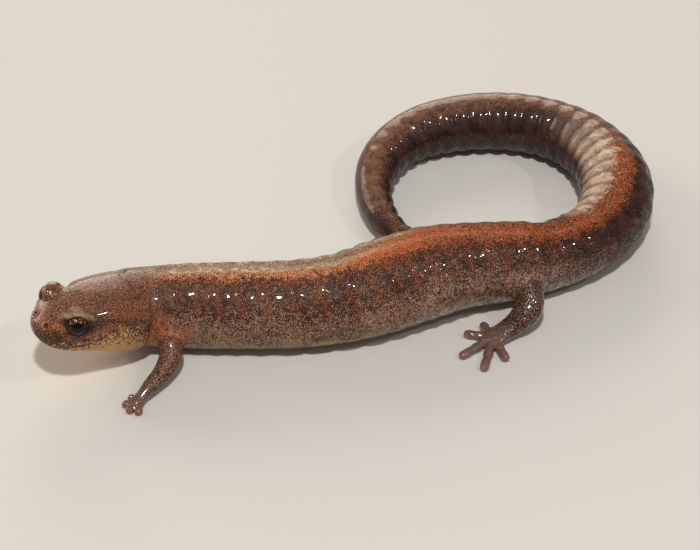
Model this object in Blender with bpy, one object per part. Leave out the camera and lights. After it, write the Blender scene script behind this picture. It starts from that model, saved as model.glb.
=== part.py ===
"""Eastern red-backed salamander, life size, resting on its belly with the tail curled round.

The spine is a path over the floor from the tip of the snout to the tip of the tail.
The animal faces -X, its left side is towards -Y and the floor is z = 0.
Sizes are in millimetres here and become metres when a mesh is made.
"""
import math

import bmesh
import bpy
import numpy as np
from mathutils import Vector

MM = 0.001

# Whole animal
TOTAL_LENGTH = 92.0
GAP = 0.3
# Plan point of the spine's own axes that becomes the middle of the part
ORIGIN = (0.3, 1.575)
SPINE_STEP = 0.05

# Spine: plan position of the snout tip, then (distance from the snout, heading in degrees)
SNOUT_TIP = (-22.85, -12.45)
SPINE_TURNS = (
    (0.0, 33), (7.5, 37), (10.0, 8), (12.5, 1), (18.0, 1), (23.0, 12), (28.0, 25), (32.0, 22),
    (36.0, 11), (40.0, 21), (44.0, 38), (48.0, 66), (52.0, 93), (56.0, 114), (60.0, 141),
    (64.0, 167), (68.0, 186), (72.0, 204), (76.0, 236), (80.0, 267), (84.5, 296), (88.0, 335),
    (92.0, 380),
)

# Height of the head's and neck's centre line, (distance from the snout, height)
HEAD_HEIGHTS = ((0.0, 5.35), (4.0, 4.62), (8.0, 3.5), (11.0, 2.97), (14.0, 2.93))
BELLY_SINK = 0.04

# Half sizes of the body's section, (distance from the snout, size)
HALF_WIDTHS = (
    (0.0, 1.8), (1.2, 2.05), (2.0, 2.33), (2.65, 2.48), (4.0, 2.77), (5.5, 3.08), (7.0, 3.2),
    (8.3, 3.12), (9.3, 2.95), (10.5, 3.0), (13.0, 3.2), (17.0, 3.35), (23.0, 3.47), (28.0, 3.73),
    (31.0, 3.67), (34.0, 3.35), (38.5, 3.04), (41.0, 2.66), (45.0, 2.65), (51.0, 2.93),
    (57.0, 2.62), (62.0, 2.43), (66.0, 2.38), (71.0, 2.25), (75.0, 1.97), (78.0, 1.73),
    (81.0, 1.45), (84.5, 1.23), (88.0, 0.93), (92.0, 0.56),
)
HALF_HEIGHTS_ABOVE = (
    (0.0, 0.95), (1.2, 1.3), (2.0, 1.68), (2.65, 1.93), (4.0, 2.28), (5.5, 2.48), (7.0, 2.58),
    (8.3, 2.65), (9.3, 2.8), (10.5, 2.98), (13.0, 3.18), (17.0, 3.23), (23.0, 3.25), (28.0, 3.48),
    (31.0, 3.35), (34.0, 3.2), (38.5, 3.0), (41.0, 2.67), (45.0, 2.65), (51.0, 2.9),
    (57.0, 2.6), (62.0, 2.43), (66.0, 2.4), (71.0, 2.25), (75.0, 1.96), (78.0, 1.73),
    (81.0, 1.45), (84.5, 1.23), (88.0, 0.93), (92.0, 0.56),
)
HALF_HEIGHTS_BELOW = (
    (0.0, 1.32), (1.2, 1.49), (2.0, 1.77), (2.65, 1.94), (4.0, 2.22), (5.5, 2.54), (7.0, 2.83),
    (8.4, 2.98), (9.1, 2.8), (9.8, 2.78), (10.8, 2.95), (13.0, 3.02), (17.0, 3.02), (23.0, 3.1),
    (28.0, 3.35), (31.0, 3.45), (34.0, 3.25), (38.5, 2.95), (41.0, 2.65), (45.0, 2.65),
    (51.0, 2.88), (57.0, 2.6), (62.0, 2.43), (66.0, 2.37), (71.0, 2.28), (75.0, 1.98),
    (78.0, 1.73), (81.0, 1.45), (84.5, 1.23), (88.0, 0.93), (92.0, 0.56),
)
SNOUT_ROUNDING = 1.6
TAIL_ROUNDING = 1.0
# 1 is an ellipse, less is squarer
SECTION_POWERS = (
    (0.0, 0.88), (2.3, 0.8), (5.0, 0.86), (9.0, 0.92), (14.0, 0.95), (50.0, 1.0), (92.0, 1.0),
)

# Grooves between the ribs, from the axilla to the groin, then the rings of the tail
AXILLA = 12.1
GROIN = 38.3
COSTAL_FOLDS = 16
FOLD_LENGTHS = ((0, 1.36), (2, 1.65), (4, 2.05), (7, 1.8), (9, 1.45), (12, 1.65), (15, 1.5))
COSTAL_DEPTH = 0.16
COSTAL_HALF_WIDTH = 0.3
TAIL_RING_LENGTH = 1.5
TAIL_RING_DEPTH = 0.07
TAIL_RING_HALF_WIDTH = 0.35
TAIL_TIP_WITHOUT_RINGS = 2.0
# Groove along the back, at an angle from the top because the body is rolled a little
BACK_GROOVE_DEPTH = 0.12
BACK_GROOVE_HALF_ANGLE = 9.0
BACK_ROLL = -6.0

# Folds of the throat and nape: place, depth, half width, then first and last angle from the top
THROAT_FOLD = (9.0, 0.3, 0.3, 75.0, 180.0)
NAPE_CREASE = (9.95, 0.1, 0.3, 20.0, 120.0)
FOLD_FADE = (25.0, 10.0)

# Lengths of the body: name, far end, sides of the section
TRUNK_SIDES = 24
BODY_LENGTHS = (
    ("head", 9.0, 32), ("neck", 11.5, 26), ("trunk_front", 20.6, TRUNK_SIDES),
    ("trunk_middle", 29.2, TRUNK_SIDES), ("trunk_rear", 39.8, TRUNK_SIDES), ("tail_1", 49.3, 20),
    ("tail_2", 58.3, 20), ("tail_3", 67.3, 18), ("tail_4", 76.3, 16), ("tail_5", 84.3, 14),
    ("tail_6", TOTAL_LENGTH, 12),
)
# Least distance between the ring that ends a length and the next ring
RING_CLEARANCE = 0.14

# Eyes, nostrils and mouth, along the head and to the side and above its centre line
EYE_PLACE = (2.38, 1.8, 1.05)
EYE_RADIUS = 0.93
EYE_AXIS = (0.38, 0.88, 0.22)
EYE_GAP = 0.2
LID_RADIUS = 1.3
LID_SINK = 0.3
BROW_SWELLING = 0.28
BROW_HALF_WIDTH = 1.1
NOSTRIL_PLACE = (0.5, 32.0)
NOSTRIL_RADIUS = 0.16
MOUTH_LINE = (
    (0.35, 180.0), (0.42, 160.0), (0.6, 140.0), (1.1, 122.0), (1.9, 112.0), (2.9, 105.0),
    (3.9, 97.0), (4.6, 88.0), (5.1, 80.0),
)
MOUTH_DEPTH = 0.3
MOUTH_OPENING = 0.14
# Share by which the cut under the snout leans forward, and the angle where that starts
MOUTH_LEAN = 0.35
MOUTH_LEAN_FROM = 140.0

# Limbs: points of the centre line from the root inside the trunk to the palm, with the
# half width and half thickness there, then the points at which elbow and wrist are parted
FORELEG_SIZES = ((0.95, 0.9), (0.92, 0.88), (0.85, 0.8), (0.72, 0.66), (0.6, 0.52), (0.48, 0.42),
                 (0.62, 0.34))
HINDLEG_SIZES = ((1.1, 1.1), (1.1, 1.05), (1.08, 1.0), (1.02, 0.88), (0.88, 0.66), (0.95, 0.44),
                 (1.05, 0.34))
LIMBS = {
    "fore_left": {
        "points": ((-13.3, -8.6, 2.9), (-13.25, -10.1, 2.35), (-13.15, -11.2, 1.75),
                   (-13.7, -12.45, 1.2), (-14.55, -13.6, 0.85), (-15.2, -14.4, 0.5),
                   (-15.55, -14.85, 0.32)),
        "toes": ((-16.1, -14.05), (-16.6, -15.0), (-16.15, -15.8), (-15.25, -16.0)),
    },
    "fore_right": {
        "points": ((-13.2, -5.8, 2.9), (-13.1, -4.3, 2.35), (-12.5, -3.3, 1.75),
                   (-12.7, -2.5, 1.2), (-13.3, -2.0, 0.85), (-14.0, -1.7, 0.5),
                   (-14.45, -1.5, 0.32)),
        "toes": ((-15.6, -2.3), (-16.1, -1.4), (-15.75, -0.45), (-14.8, -0.1)),
    },
    "hind_left": {
        "points": ((13.5, -3.2, 3.0), (13.5, -4.7, 2.45), (13.45, -5.9, 1.8), (12.85, -6.6, 1.3),
                   (12.0, -7.1, 0.85), (11.2, -7.5, 0.5), (10.7, -7.75, 0.34)),
        "toes": ((9.95, -5.95), (8.52, -7.12), (8.15, -9.8), (9.85, -11.25), (11.65, -10.15)),
    },
    "hind_right": {
        "points": ((12.7, 0.0, 3.0), (12.9, 1.4, 2.45), (13.35, 2.5, 1.8), (13.2, 3.2, 1.3),
                   (12.6, 3.6, 0.85), (11.9, 3.75, 0.5), (11.4, 3.8, 0.34)),
        "toes": ((10.75, 2.75), (9.95, 3.4), (9.75, 4.4), (10.4, 5.3), (11.5, 5.45)),
    },
}
ELBOW_AT = 2
WRIST_AT = 5
LIMB_SIDES = 12
LIMB_RING_STEP = 0.45
CUTTER_REACH = 5.0
TOE_SIDES = 8
TOE_HALF_WIDTHS = {"fore": 0.33, "hind": 0.37}
# Height of a toe as a share of its width
TOE_FLATNESS = 0.87
TOE_HEIGHT = 0.22
TOE_SLOPE = 0.05
TOE_ROOT_REACH = 0.2
# Half size of a toe at shares of its length, then the turns of the rings of a round end
TOE_SWELLING = ((0.0, 1.25), (0.35, 1.0), (0.7, 0.9), (0.9, 1.0), (1.0, 1.0))
ROUND_END_TURNS = (35.0, 65.0)
# How far a palm's round end reaches past its line
PALM_END_ROUNDINGS = {"fore": 0.6, "hind": 0.9}

SKIN_COLOURS = {
    "head": (0.075, 0.032, 0.02), "neck": (0.085, 0.032, 0.018), "trunk": (0.09, 0.035, 0.02),
    "tail": (0.1, 0.036, 0.018), "limb": (0.05, 0.028, 0.02), "foot": (0.08, 0.05, 0.045),
    "eye": (0.006, 0.004, 0.003),
}
SKIN_ROUGHNESS = 0.35
EYE_ROUGHNESS = 0.05


def smooth_value(table, place):
    """Monotone cubic curve through the (place, value) pairs of a table."""
    places, values = np.array(table, dtype=float).T
    steps = np.diff(places)
    slopes = np.diff(values) / steps
    tangents = np.concatenate(([slopes[0]], np.zeros(len(places) - 2), [slopes[-1]]))
    for i in range(1, len(places) - 1):
        if slopes[i - 1] * slopes[i] > 0.0:
            before = 2.0 * steps[i] + steps[i - 1]
            after = steps[i] + 2.0 * steps[i - 1]
            tangents[i] = (before + after) / (before / slopes[i - 1] + after / slopes[i])
    cell = np.clip(np.searchsorted(places, place, side="right") - 1, 0, len(places) - 2)
    t = (place - places[cell]) / steps[cell]
    start = (1 + 2 * t) * (1 - t) ** 2 * values[cell] + t * (1 - t) ** 2 * steps[cell] * tangents[cell]
    end = t * t * (3 - 2 * t) * values[cell + 1]
    return start + end + t * t * (t - 1) * steps[cell] * tangents[cell + 1]


def bell(distance, half_width):
    """1 at no distance, falling smoothly to about 0 at twice the half width."""
    return np.exp(-(distance / half_width) ** 2)


def rise(value, low, high):
    """0 below low, 1 above high, smooth between."""
    t = np.clip((value - low) / (high - low), 0.0, 1.0)
    return t * t * (3.0 - 2.0 * t)


def unit(vector):
    return vector / np.linalg.norm(vector)


# The spine

def trace_spine():
    """Distance, plan position, height and heading along the spine."""
    place = np.arange(0.0, TOTAL_LENGTH + SPINE_STEP / 2, SPINE_STEP)
    resting = smooth_value(HALF_HEIGHTS_BELOW, place) * (1.0 - BELLY_SINK)
    raised = smooth_value(HEAD_HEIGHTS, np.minimum(place, HEAD_HEIGHTS[-1][0]))
    height = np.where(place < HEAD_HEIGHTS[-1][0], raised, resting)
    heading = np.radians(smooth_value(SPINE_TURNS, place))
    slope = np.gradient(height, place)
    run = np.sqrt(1.0 - slope ** 2) * SPINE_STEP
    x = SNOUT_TIP[0] + np.concatenate(([0.0], np.cumsum(np.cos(heading[:-1]) * run[:-1])))
    y = SNOUT_TIP[1] + np.concatenate(([0.0], np.cumsum(np.sin(heading[:-1]) * run[:-1])))
    return place, np.stack((x, y, height), axis=1), heading, slope


SPINE_PLACES, SPINE_POINTS, SPINE_HEADINGS, SPINE_SLOPES = trace_spine()


def spine_frame(place):
    """Centre, direction towards the tail, direction to the left and direction up."""
    centre = np.array([np.interp(place, SPINE_PLACES, SPINE_POINTS[:, i]) for i in range(3)])
    heading = np.interp(place, SPINE_PLACES, SPINE_HEADINGS)
    slope = np.interp(place, SPINE_PLACES, SPINE_SLOPES)
    level = math.sqrt(1.0 - slope ** 2)
    backward = np.array((math.cos(heading) * level, math.sin(heading) * level, slope))
    left = np.array((math.sin(heading), -math.cos(heading), 0.0))
    return centre, backward, left, np.cross(left, backward)


# The skin's relief

def fold_places():
    """Places of the grooves between the ribs."""
    lengths = smooth_value(FOLD_LENGTHS, np.arange(COSTAL_FOLDS))
    ends = np.concatenate(([0.0], np.cumsum(lengths)))
    return AXILLA + ends * (GROIN - AXILLA) / ends[-1]


COSTAL_GROOVES = fold_places()
TAIL_RINGS = np.arange(GROIN + TAIL_RING_LENGTH, TOTAL_LENGTH - TAIL_TIP_WITHOUT_RINGS,
                       TAIL_RING_LENGTH)


def fold_depth(fold, place, angle):
    """Depth of a crease across the body, given by its place, depth, width and angles."""
    at, depth, half_width, first, last = fold
    out, into = FOLD_FADE
    across = rise(angle, first - out, first + into) * (1.0 - rise(angle, last - into, last + out))
    return depth * bell(place - at, half_width) * across


def relief(place, angle):
    """Depth of the skin below the plain section, at an angle from the top in degrees."""
    side = np.abs(angle)
    depth = fold_depth(THROAT_FOLD, place, side) + fold_depth(NAPE_CREASE, place, side)
    on_flank = rise(side, 22.0, 50.0) * (1.0 - rise(side, 105.0, 145.0))
    nearest = np.min(np.abs(COSTAL_GROOVES - place))
    depth = depth + COSTAL_DEPTH * bell(nearest, COSTAL_HALF_WIDTH) * on_flank
    nearest = np.min(np.abs(TAIL_RINGS - place))
    above_belly = 1.0 - rise(side, 120.0, 160.0)
    depth = depth + TAIL_RING_DEPTH * bell(nearest, TAIL_RING_HALF_WIDTH) * above_belly
    along_back = rise(place, 7.0, 12.0) * (1.0 - rise(place, 44.0, 60.0))
    in_groove = bell(angle - BACK_ROLL, BACK_GROOVE_HALF_ANGLE)
    depth = depth + BACK_GROOVE_DEPTH * in_groove * along_back
    along, aside, above = EYE_PLACE
    across = np.radians(side - math.degrees(math.atan2(aside, above))) * math.hypot(aside, above)
    return depth - BROW_SWELLING * bell(np.hypot(place - along, across), BROW_HALF_WIDTH)


def section(place, angles, grow=0.0):
    """Points of the section at a place, as distances to the left and up, in millimetres."""
    front = min(place / SNOUT_ROUNDING, 1.0)
    back = min((TOTAL_LENGTH - place) / TAIL_ROUNDING, 1.0)
    cap = math.sqrt(1.0 - (1.0 - front) ** 2) * math.sqrt(1.0 - (1.0 - back) ** 2)
    half_width = smooth_value(HALF_WIDTHS, place) * cap + grow
    above = smooth_value(HALF_HEIGHTS_ABOVE, place) * cap + grow
    below = smooth_value(HALF_HEIGHTS_BELOW, place) * cap + grow
    power = smooth_value(SECTION_POWERS, place)
    turn = np.radians(angles)
    sine, cosine = np.sin(turn), np.cos(turn)
    left = half_width * np.sign(sine) * np.abs(sine) ** power
    up = np.where(cosine > 0.0, above, below) * np.sign(cosine) * np.abs(cosine) ** power
    inset = 1.0 - relief(place, angles) * cap / np.hypot(left, up)
    return left * inset, up * inset


def body_ring(place, sides, grow=0.0, seat=None, shift=0.0):
    """Ring of points round the body. A ring that ends a piece sits square on its seat."""
    first = 0.0 if sides >= TRUNK_SIDES else 0.5
    angles = ((np.arange(sides) + first) * 360.0 / sides + 180.0) % 360.0 - 180.0
    left_by, up_by = section(place, angles, grow)
    centre, backward, left, up = spine_frame(place if seat is None else seat)
    centre = centre + backward * shift
    points = centre + left_by[:, None] * left + up_by[:, None] * up
    if grow == 0.0:
        points[:, 2] = np.maximum(points[:, 2], 0.0)
    return points


# Making meshes

def mesh_object(name, points, faces, collection):
    """Object from points in millimetres, shaded smooth, facing outwards."""
    mesh = bpy.data.meshes.new(name)
    shifted = np.array(points) - np.array((ORIGIN[0], ORIGIN[1], 0.0))
    mesh.from_pydata((shifted * MM).tolist(), [], faces)
    work = bmesh.new()
    work.from_mesh(mesh)
    bmesh.ops.recalc_face_normals(work, faces=work.faces)
    work.to_mesh(mesh)
    work.free()
    mesh.shade_smooth()
    mesh.set_sharp_from_angle(angle=math.radians(45.0))
    thing = bpy.data.objects.new(name, mesh)
    collection.objects.link(thing)
    return thing


def loft(name, rings, collection, first_point=None, last_point=None):
    """Closed skin over rings of equal count, with flat ends or ends drawn to a point."""
    count = len(rings[0])
    points = np.concatenate(rings).tolist()
    faces = []
    for row in range(len(rings) - 1):
        for i in range(count):
            j = (i + 1) % count
            faces.append((row * count + i, row * count + j, (row + 1) * count + j, (row + 1) * count + i))
    for ring, tip in ((0, first_point), (len(rings) - 1, last_point)):
        edge = [ring * count + i for i in range(count)]
        if tip is None:
            faces.append(tuple(edge))
            continue
        points.append(list(tip))
        faces.extend((edge[i], edge[(i + 1) % count], len(points) - 1) for i in range(count))
    return mesh_object(name, points, faces, collection)


def largest_body(thing):
    """Keep only the largest closed surface of an object."""
    work = bmesh.new()
    work.from_mesh(thing.data)
    bmesh.ops.remove_doubles(work, verts=work.verts, dist=1e-7)
    left = set(work.faces)
    bodies = []
    while left:
        seed = left.pop()
        body, edge = [seed], [seed]
        while edge:
            face = edge.pop()
            for link in face.edges:
                for other in link.link_faces:
                    if other in left:
                        left.remove(other)
                        body.append(other)
                        edge.append(other)
        bodies.append(body)
    bodies.sort(key=lambda body: sum(face.calc_area() for face in body), reverse=True)
    spare = [face for body in bodies[1:] for face in body]
    bmesh.ops.delete(work, geom=spare, context="FACES")
    work.to_mesh(thing.data)
    work.free()


def combine(thing, tools, operation, solver="EXACT"):
    """Join tools to an object or cut them from it, then remove them."""
    for tool in tools:
        tool.hide_render = True
        tool.display_type = "WIRE"
        boolean = thing.modifiers.new(tool.name, "BOOLEAN")
        boolean.operation = operation
        boolean.object = tool
        boolean.solver = solver
    graph = bpy.context.evaluated_depsgraph_get()
    result = bpy.data.meshes.new_from_object(thing.evaluated_get(graph))
    thing.modifiers.clear()
    thing.data = result
    for tool in tools:
        bpy.data.objects.remove(tool, do_unlink=True)
    largest_body(thing)


def paint(thing, colour, roughness=SKIN_ROUGHNESS):
    material = bpy.data.materials.new(thing.name)
    material.use_nodes = True
    shader = material.node_tree.nodes["Principled BSDF"]
    shader.inputs["Base Color"].default_value = (*colour, 1.0)
    shader.inputs["Roughness"].default_value = roughness
    shader.inputs["Metallic"].default_value = 0.0
    thing.data.materials.clear()
    thing.data.materials.append(material)


# The body

def ring_places():
    """Places of the rings, denser at the snout, the folds and the grooves."""
    snout = [SNOUT_ROUNDING * (1.0 - math.cos(math.radians(turn))) for turn in (14, 28, 42, 56, 72, 90)]
    head = list(np.arange(2.1, 8.0, 0.5))
    throat = [8.0, 8.35, 8.65, 9.35, 9.65, 9.95, 10.25, 10.7, 11.2]
    ribs = []
    for groove, following in zip(COSTAL_GROOVES[:-1], COSTAL_GROOVES[1:]):
        ribs.extend(groove + (following - groove) * share for share in (0.0, 0.3, 0.7))
    rings = [GROIN, GROIN + TAIL_RING_LENGTH / 2]
    for ring in TAIL_RINGS:
        rings.extend((ring, ring + TAIL_RING_LENGTH / 2))
    end = TOTAL_LENGTH - TAIL_ROUNDING * (1.0 - np.cos(np.radians((70, 45, 20))))
    return np.array(snout + head + throat + ribs + rings + end.tolist())


RING_PLACES = ring_places()


def body_length(name, start, end, sides, collection):
    """One length of the body between two places, parted from its neighbours by the gap."""
    inner_start, inner_end = start, end
    rings = []
    first_point = last_point = None
    if start == 0.0:
        first_point = spine_frame(0.0)[0]
    else:
        inner_start = start + GAP / 2 + RING_CLEARANCE
        rings.append(body_ring(start + GAP / 2, sides, seat=start, shift=GAP / 2))
    closing = []
    if end == TOTAL_LENGTH:
        last_point = spine_frame(TOTAL_LENGTH)[0]
    else:
        inner_end = end - GAP / 2 - RING_CLEARANCE
        closing.append(body_ring(end - GAP / 2, sides, seat=end, shift=-GAP / 2))
    for place in RING_PLACES[(RING_PLACES > inner_start) & (RING_PLACES < inner_end)]:
        rings.append(body_ring(place, sides))
    return loft(name, rings + closing, collection, first_point, last_point)


def head_point(along, aside, above, side):
    """Point given along the head and aside of and above its centre line. Side is 1 on the left."""
    centre, backward, left, up = spine_frame(along)
    return centre + left * aside * side + up * above


def skin_point(place, angle):
    """Point on the skin with its outward direction."""
    left_by, up_by = section(place, np.array([angle]))
    centre, backward, left, up = spine_frame(place)
    outward = unit(left * left_by[0] + up * up_by[0])
    return centre + left * left_by[0] + up * up_by[0], outward


def ball(name, centre, radius, collection, segments, rings):
    """Sphere from Blender's own primitive, at a point in millimetres."""
    mesh = bpy.data.meshes.new(name)
    work = bmesh.new()
    bmesh.ops.create_uvsphere(work, u_segments=segments, v_segments=rings, radius=radius * MM)
    place = Vector(centre) - Vector((ORIGIN[0], ORIGIN[1], 0.0))
    bmesh.ops.translate(work, verts=work.verts, vec=place * MM)
    work.to_mesh(mesh)
    work.free()
    mesh.shade_smooth()
    thing = bpy.data.objects.new(name, mesh)
    collection.objects.link(thing)
    return thing


def eye_centre(side):
    return head_point(*EYE_PLACE, side)


def eye_direction(side):
    """Direction in which an eye looks."""
    centre, backward, left, up = spine_frame(EYE_PLACE[0])
    forward, aside, above = EYE_AXIS
    return unit(-backward * forward + left * aside * side + up * above)


def mouth_cutter(collection):
    """Thin bent strip through the skin along the line of the mouth."""
    half = np.array(MOUTH_LINE)
    left = list(zip(half[:, 0], half[:, 1]))
    right = [(along, -angle) for along, angle in left[1:]]
    rings = []
    for along, angle in right[::-1] + left:
        point, outward = skin_point(along, angle)
        centre, backward, aside, up = spine_frame(along)
        lean = MOUTH_LEAN if abs(angle) > MOUTH_LEAN_FROM else 0.0
        thick = unit(up - outward * np.dot(up, outward) - backward * lean)
        thick = thick * MOUTH_OPENING / 2
        inner, outer = point - outward * MOUTH_DEPTH, point + outward * MOUTH_DEPTH * 2
        rings.append(np.array((inner + thick, outer + thick * 2, outer - thick * 2, inner - thick)))
    return loft("mouth_cut", rings, collection)


def make_head(parts, cutters):
    head = body_length("head", 0.0, BODY_LENGTHS[0][1], BODY_LENGTHS[0][2], parts)
    lids, cuts = [], [mouth_cutter(cutters)]
    for side, word in ((1, "left"), (-1, "right")):
        centre = eye_centre(side)
        lid = centre - eye_direction(side) * LID_SINK
        lids.append(ball("lid_" + word, lid, LID_RADIUS, cutters, 18, 12))
        cuts.append(ball("socket_" + word, centre, EYE_RADIUS + EYE_GAP, cutters, 18, 12))
        nostril, outward = skin_point(NOSTRIL_PLACE[0], NOSTRIL_PLACE[1] * side)
        cuts.append(ball("nostril_" + word, nostril, NOSTRIL_RADIUS, cutters, 8, 6))
        eye = ball("eye_" + word, centre, EYE_RADIUS, parts, 20, 14)
        paint(eye, SKIN_COLOURS["eye"], EYE_ROUGHNESS)
    combine(head, lids, "UNION", "MANIFOLD")
    combine(head, cuts, "DIFFERENCE", "MANIFOLD")
    paint(head, SKIN_COLOURS["head"])


def make_body(parts):
    start = BODY_LENGTHS[0][1]
    for name, end, sides in BODY_LENGTHS[1:]:
        length = body_length(name, start, end, sides, parts)
        paint(length, SKIN_COLOURS[name.split("_")[0]])
        start = end


# The limbs

def limb_line(points):
    """Smooth line through the points of a limb, with the distance of each point along it."""
    points = np.array(points, dtype=float)
    samples = []
    ends = np.concatenate(([2 * points[0] - points[1]], points, [2 * points[-1] - points[-2]]))
    steps = np.linspace(0.0, 1.0, 12, endpoint=False)
    for i in range(len(points) - 1):
        a, b, c, d = ends[i:i + 4]
        for t in steps:
            bend = 2 * a - 5 * b + 4 * c - d
            twist = -a + 3 * b - 3 * c + d
            samples.append(0.5 * (2 * b + (c - a) * t + bend * t ** 2 + twist * t ** 3))
    samples = np.array(samples + [points[-1]])
    along = np.concatenate(([0.0], np.cumsum(np.linalg.norm(np.diff(samples, axis=0), axis=1))))
    return samples, along, along[::len(steps)]


def limb_ring(line, along, place, size, sides, seat=None, shift=0.0):
    """Ring round a limb, wide across and thin from top to bottom."""
    at = place if seat is None else seat
    centre = np.array([np.interp(at, along, line[:, i]) for i in range(3)])
    ahead = np.array([np.interp(at + 0.1, along, line[:, i]) for i in range(3)])
    behind = np.array([np.interp(at - 0.1, along, line[:, i]) for i in range(3)])
    direction = unit(ahead - behind)
    across = unit(np.cross(direction, (0.0, 0.0, 1.0)))
    up = np.cross(across, direction)
    turn = np.arange(sides) * 2 * math.pi / sides
    ring = np.outer(np.cos(turn), across) * size[0] + np.outer(np.sin(turn), up) * size[1]
    return centre + direction * shift + ring


def limb_length(name, line, along, knots, sizes, start, end, collection, rounding=0.0):
    """Length of a limb between two places on its line, with a flat or a rounded far end."""
    widths = [(knot, size[0]) for knot, size in zip(knots, sizes)]
    heights = [(knot, size[1]) for knot, size in zip(knots, sizes)]

    def size_at(place):
        return smooth_value(widths, place), smooth_value(heights, place)

    first = start + GAP / 2 if start > 0.0 else start
    rings = [limb_ring(line, along, first, size_at(first), LIMB_SIDES, start, first - start)]
    last = end if rounding else end - GAP / 2
    count = max(2, round((last - first) / LIMB_RING_STEP))
    for place in np.linspace(first, last, count + 1)[1:-1]:
        rings.append(limb_ring(line, along, place, size_at(place), LIMB_SIDES))
    if not rounding:
        rings.append(limb_ring(line, along, last, size_at(last), LIMB_SIDES, end, last - end))
        return loft(name, rings, collection)
    for turn in (0.0, *ROUND_END_TURNS):
        shrink = math.cos(math.radians(turn))
        size = [part * shrink for part in size_at(end)]
        shift = math.sin(math.radians(turn)) * rounding
        rings.append(limb_ring(line, along, end, size, LIMB_SIDES, end, shift))
    direction = unit(line[-1] - line[-3])
    return loft(name, rings, collection, None, line[-1] + direction * rounding)


def toe(name, root, tip, half_width, collection):
    """Blunt toe that lies on the floor."""
    root = np.array((root[0], root[1], TOE_HEIGHT + TOE_SLOPE))
    tip = np.array((tip[0], tip[1], TOE_HEIGHT))
    half_height = half_width * TOE_FLATNESS
    reach = np.linalg.norm(tip - root) - half_width
    direction = unit(tip - root)
    line = np.array((root, root + direction * reach / 2, root + direction * reach))
    along = np.array((0.0, reach / 2, reach))
    rings = []
    for share, size in TOE_SWELLING:
        sizes = (half_width * size, half_height * size)
        rings.append(limb_ring(line, along, reach * share, sizes, TOE_SIDES))
    for turn in ROUND_END_TURNS:
        shrink = math.cos(math.radians(turn))
        sizes = (half_width * shrink, half_height * shrink)
        shift = math.sin(math.radians(turn)) * half_width
        rings.append(limb_ring(line, along, reach, sizes, TOE_SIDES, reach, shift))
    return loft(name, rings, collection, None, root + direction * (reach + half_width))


def floor_cutter(collection):
    """Block below the floor, wide enough for any foot."""
    work = bmesh.new()
    bmesh.ops.create_cube(work, size=TOTAL_LENGTH * MM)
    bmesh.ops.translate(work, verts=work.verts, vec=(0.0, 0.0, -TOTAL_LENGTH / 2 * MM))
    mesh = bpy.data.meshes.new("floor_cut")
    work.to_mesh(mesh)
    work.free()
    block = bpy.data.objects.new("floor_cut", mesh)
    collection.objects.link(block)
    return block


def trunk_cutter(start, end, collection):
    """The trunk grown by the gap, which parts a limb from it."""
    places = [place for place in RING_PLACES if start < place < end]
    rings = [body_ring(place, TRUNK_SIDES, grow=GAP) for place in places]
    return loft("trunk_cut", rings, collection)


def make_limb(key, sizes, parts, cutters):
    """Upper and lower length of a limb and its foot with the toes."""
    pair, side = key.split("_")
    leg, foot_name = pair + "leg_" + side, pair + "foot_" + side
    points = LIMBS[key]["points"]
    line, along, knots = limb_line(points)
    elbow, wrist, end = knots[ELBOW_AT], knots[WRIST_AT], knots[-1]
    upper = limb_length(leg + "_upper", line, along, knots, sizes, 0.0, elbow, parts)
    nearest = np.argmin(np.linalg.norm(SPINE_POINTS[:, :2] - np.array(points[0][:2]), axis=1))
    middle = SPINE_PLACES[nearest]
    combine(upper, [trunk_cutter(middle - CUTTER_REACH, middle + CUTTER_REACH, cutters)], "DIFFERENCE")
    lower = limb_length(leg + "_lower", line, along, knots, sizes, elbow, wrist, parts)
    rounding = PALM_END_ROUNDINGS[pair]
    foot = limb_length(foot_name, line, along, knots, sizes, wrist, end, parts, rounding)
    palm = np.array(points[-1])
    toes = []
    for number, tip in enumerate(LIMBS[key]["toes"]):
        reach = unit(np.array(tip) - palm[:2])
        root = palm[:2] + reach * TOE_ROOT_REACH
        toes.append(toe("toe_" + str(number), root, tip, TOE_HALF_WIDTHS[pair], cutters))
    combine(foot, toes, "UNION")
    combine(foot, [floor_cutter(cutters)], "DIFFERENCE")
    paint(upper, SKIN_COLOURS["limb"])
    paint(lower, SKIN_COLOURS["limb"])
    paint(foot, SKIN_COLOURS["foot"])


def clear_scene():
    for thing in list(bpy.data.objects):
        bpy.data.objects.remove(thing, do_unlink=True)


def new_collection(name):
    collection = bpy.data.collections.new(name)
    bpy.context.scene.collection.children.link(collection)
    return collection


def main():
    clear_scene()
    parts = new_collection("salamander")
    cutters = new_collection("cutters")
    make_head(parts, cutters)
    make_body(parts)
    for key in LIMBS:
        sizes = FORELEG_SIZES if key.startswith("fore") else HINDLEG_SIZES
        make_limb(key, sizes, parts, cutters)


main()
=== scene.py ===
"""Skin, eyes, light and camera for a still life-size model of an eastern red-backed salamander.

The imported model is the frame. One skin goes over all its lengths of flesh, and a wet eye over each
eye ball. The skin is a sheet rolled round the spine, with the legs and toes grown onto it. A spot on
it has a place, its distance from the snout along the spine, and an angle from the top, above 0 on
the animal's left. The animal faces -X, its left side is towards -Y and the floor is z = 0.
Sizes are in millimetres on the model's own axes and become metres in the finished meshes.
"""

import math

import bmesh
import bpy
import numpy as np
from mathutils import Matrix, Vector
from mathutils.kdtree import KDTree


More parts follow.
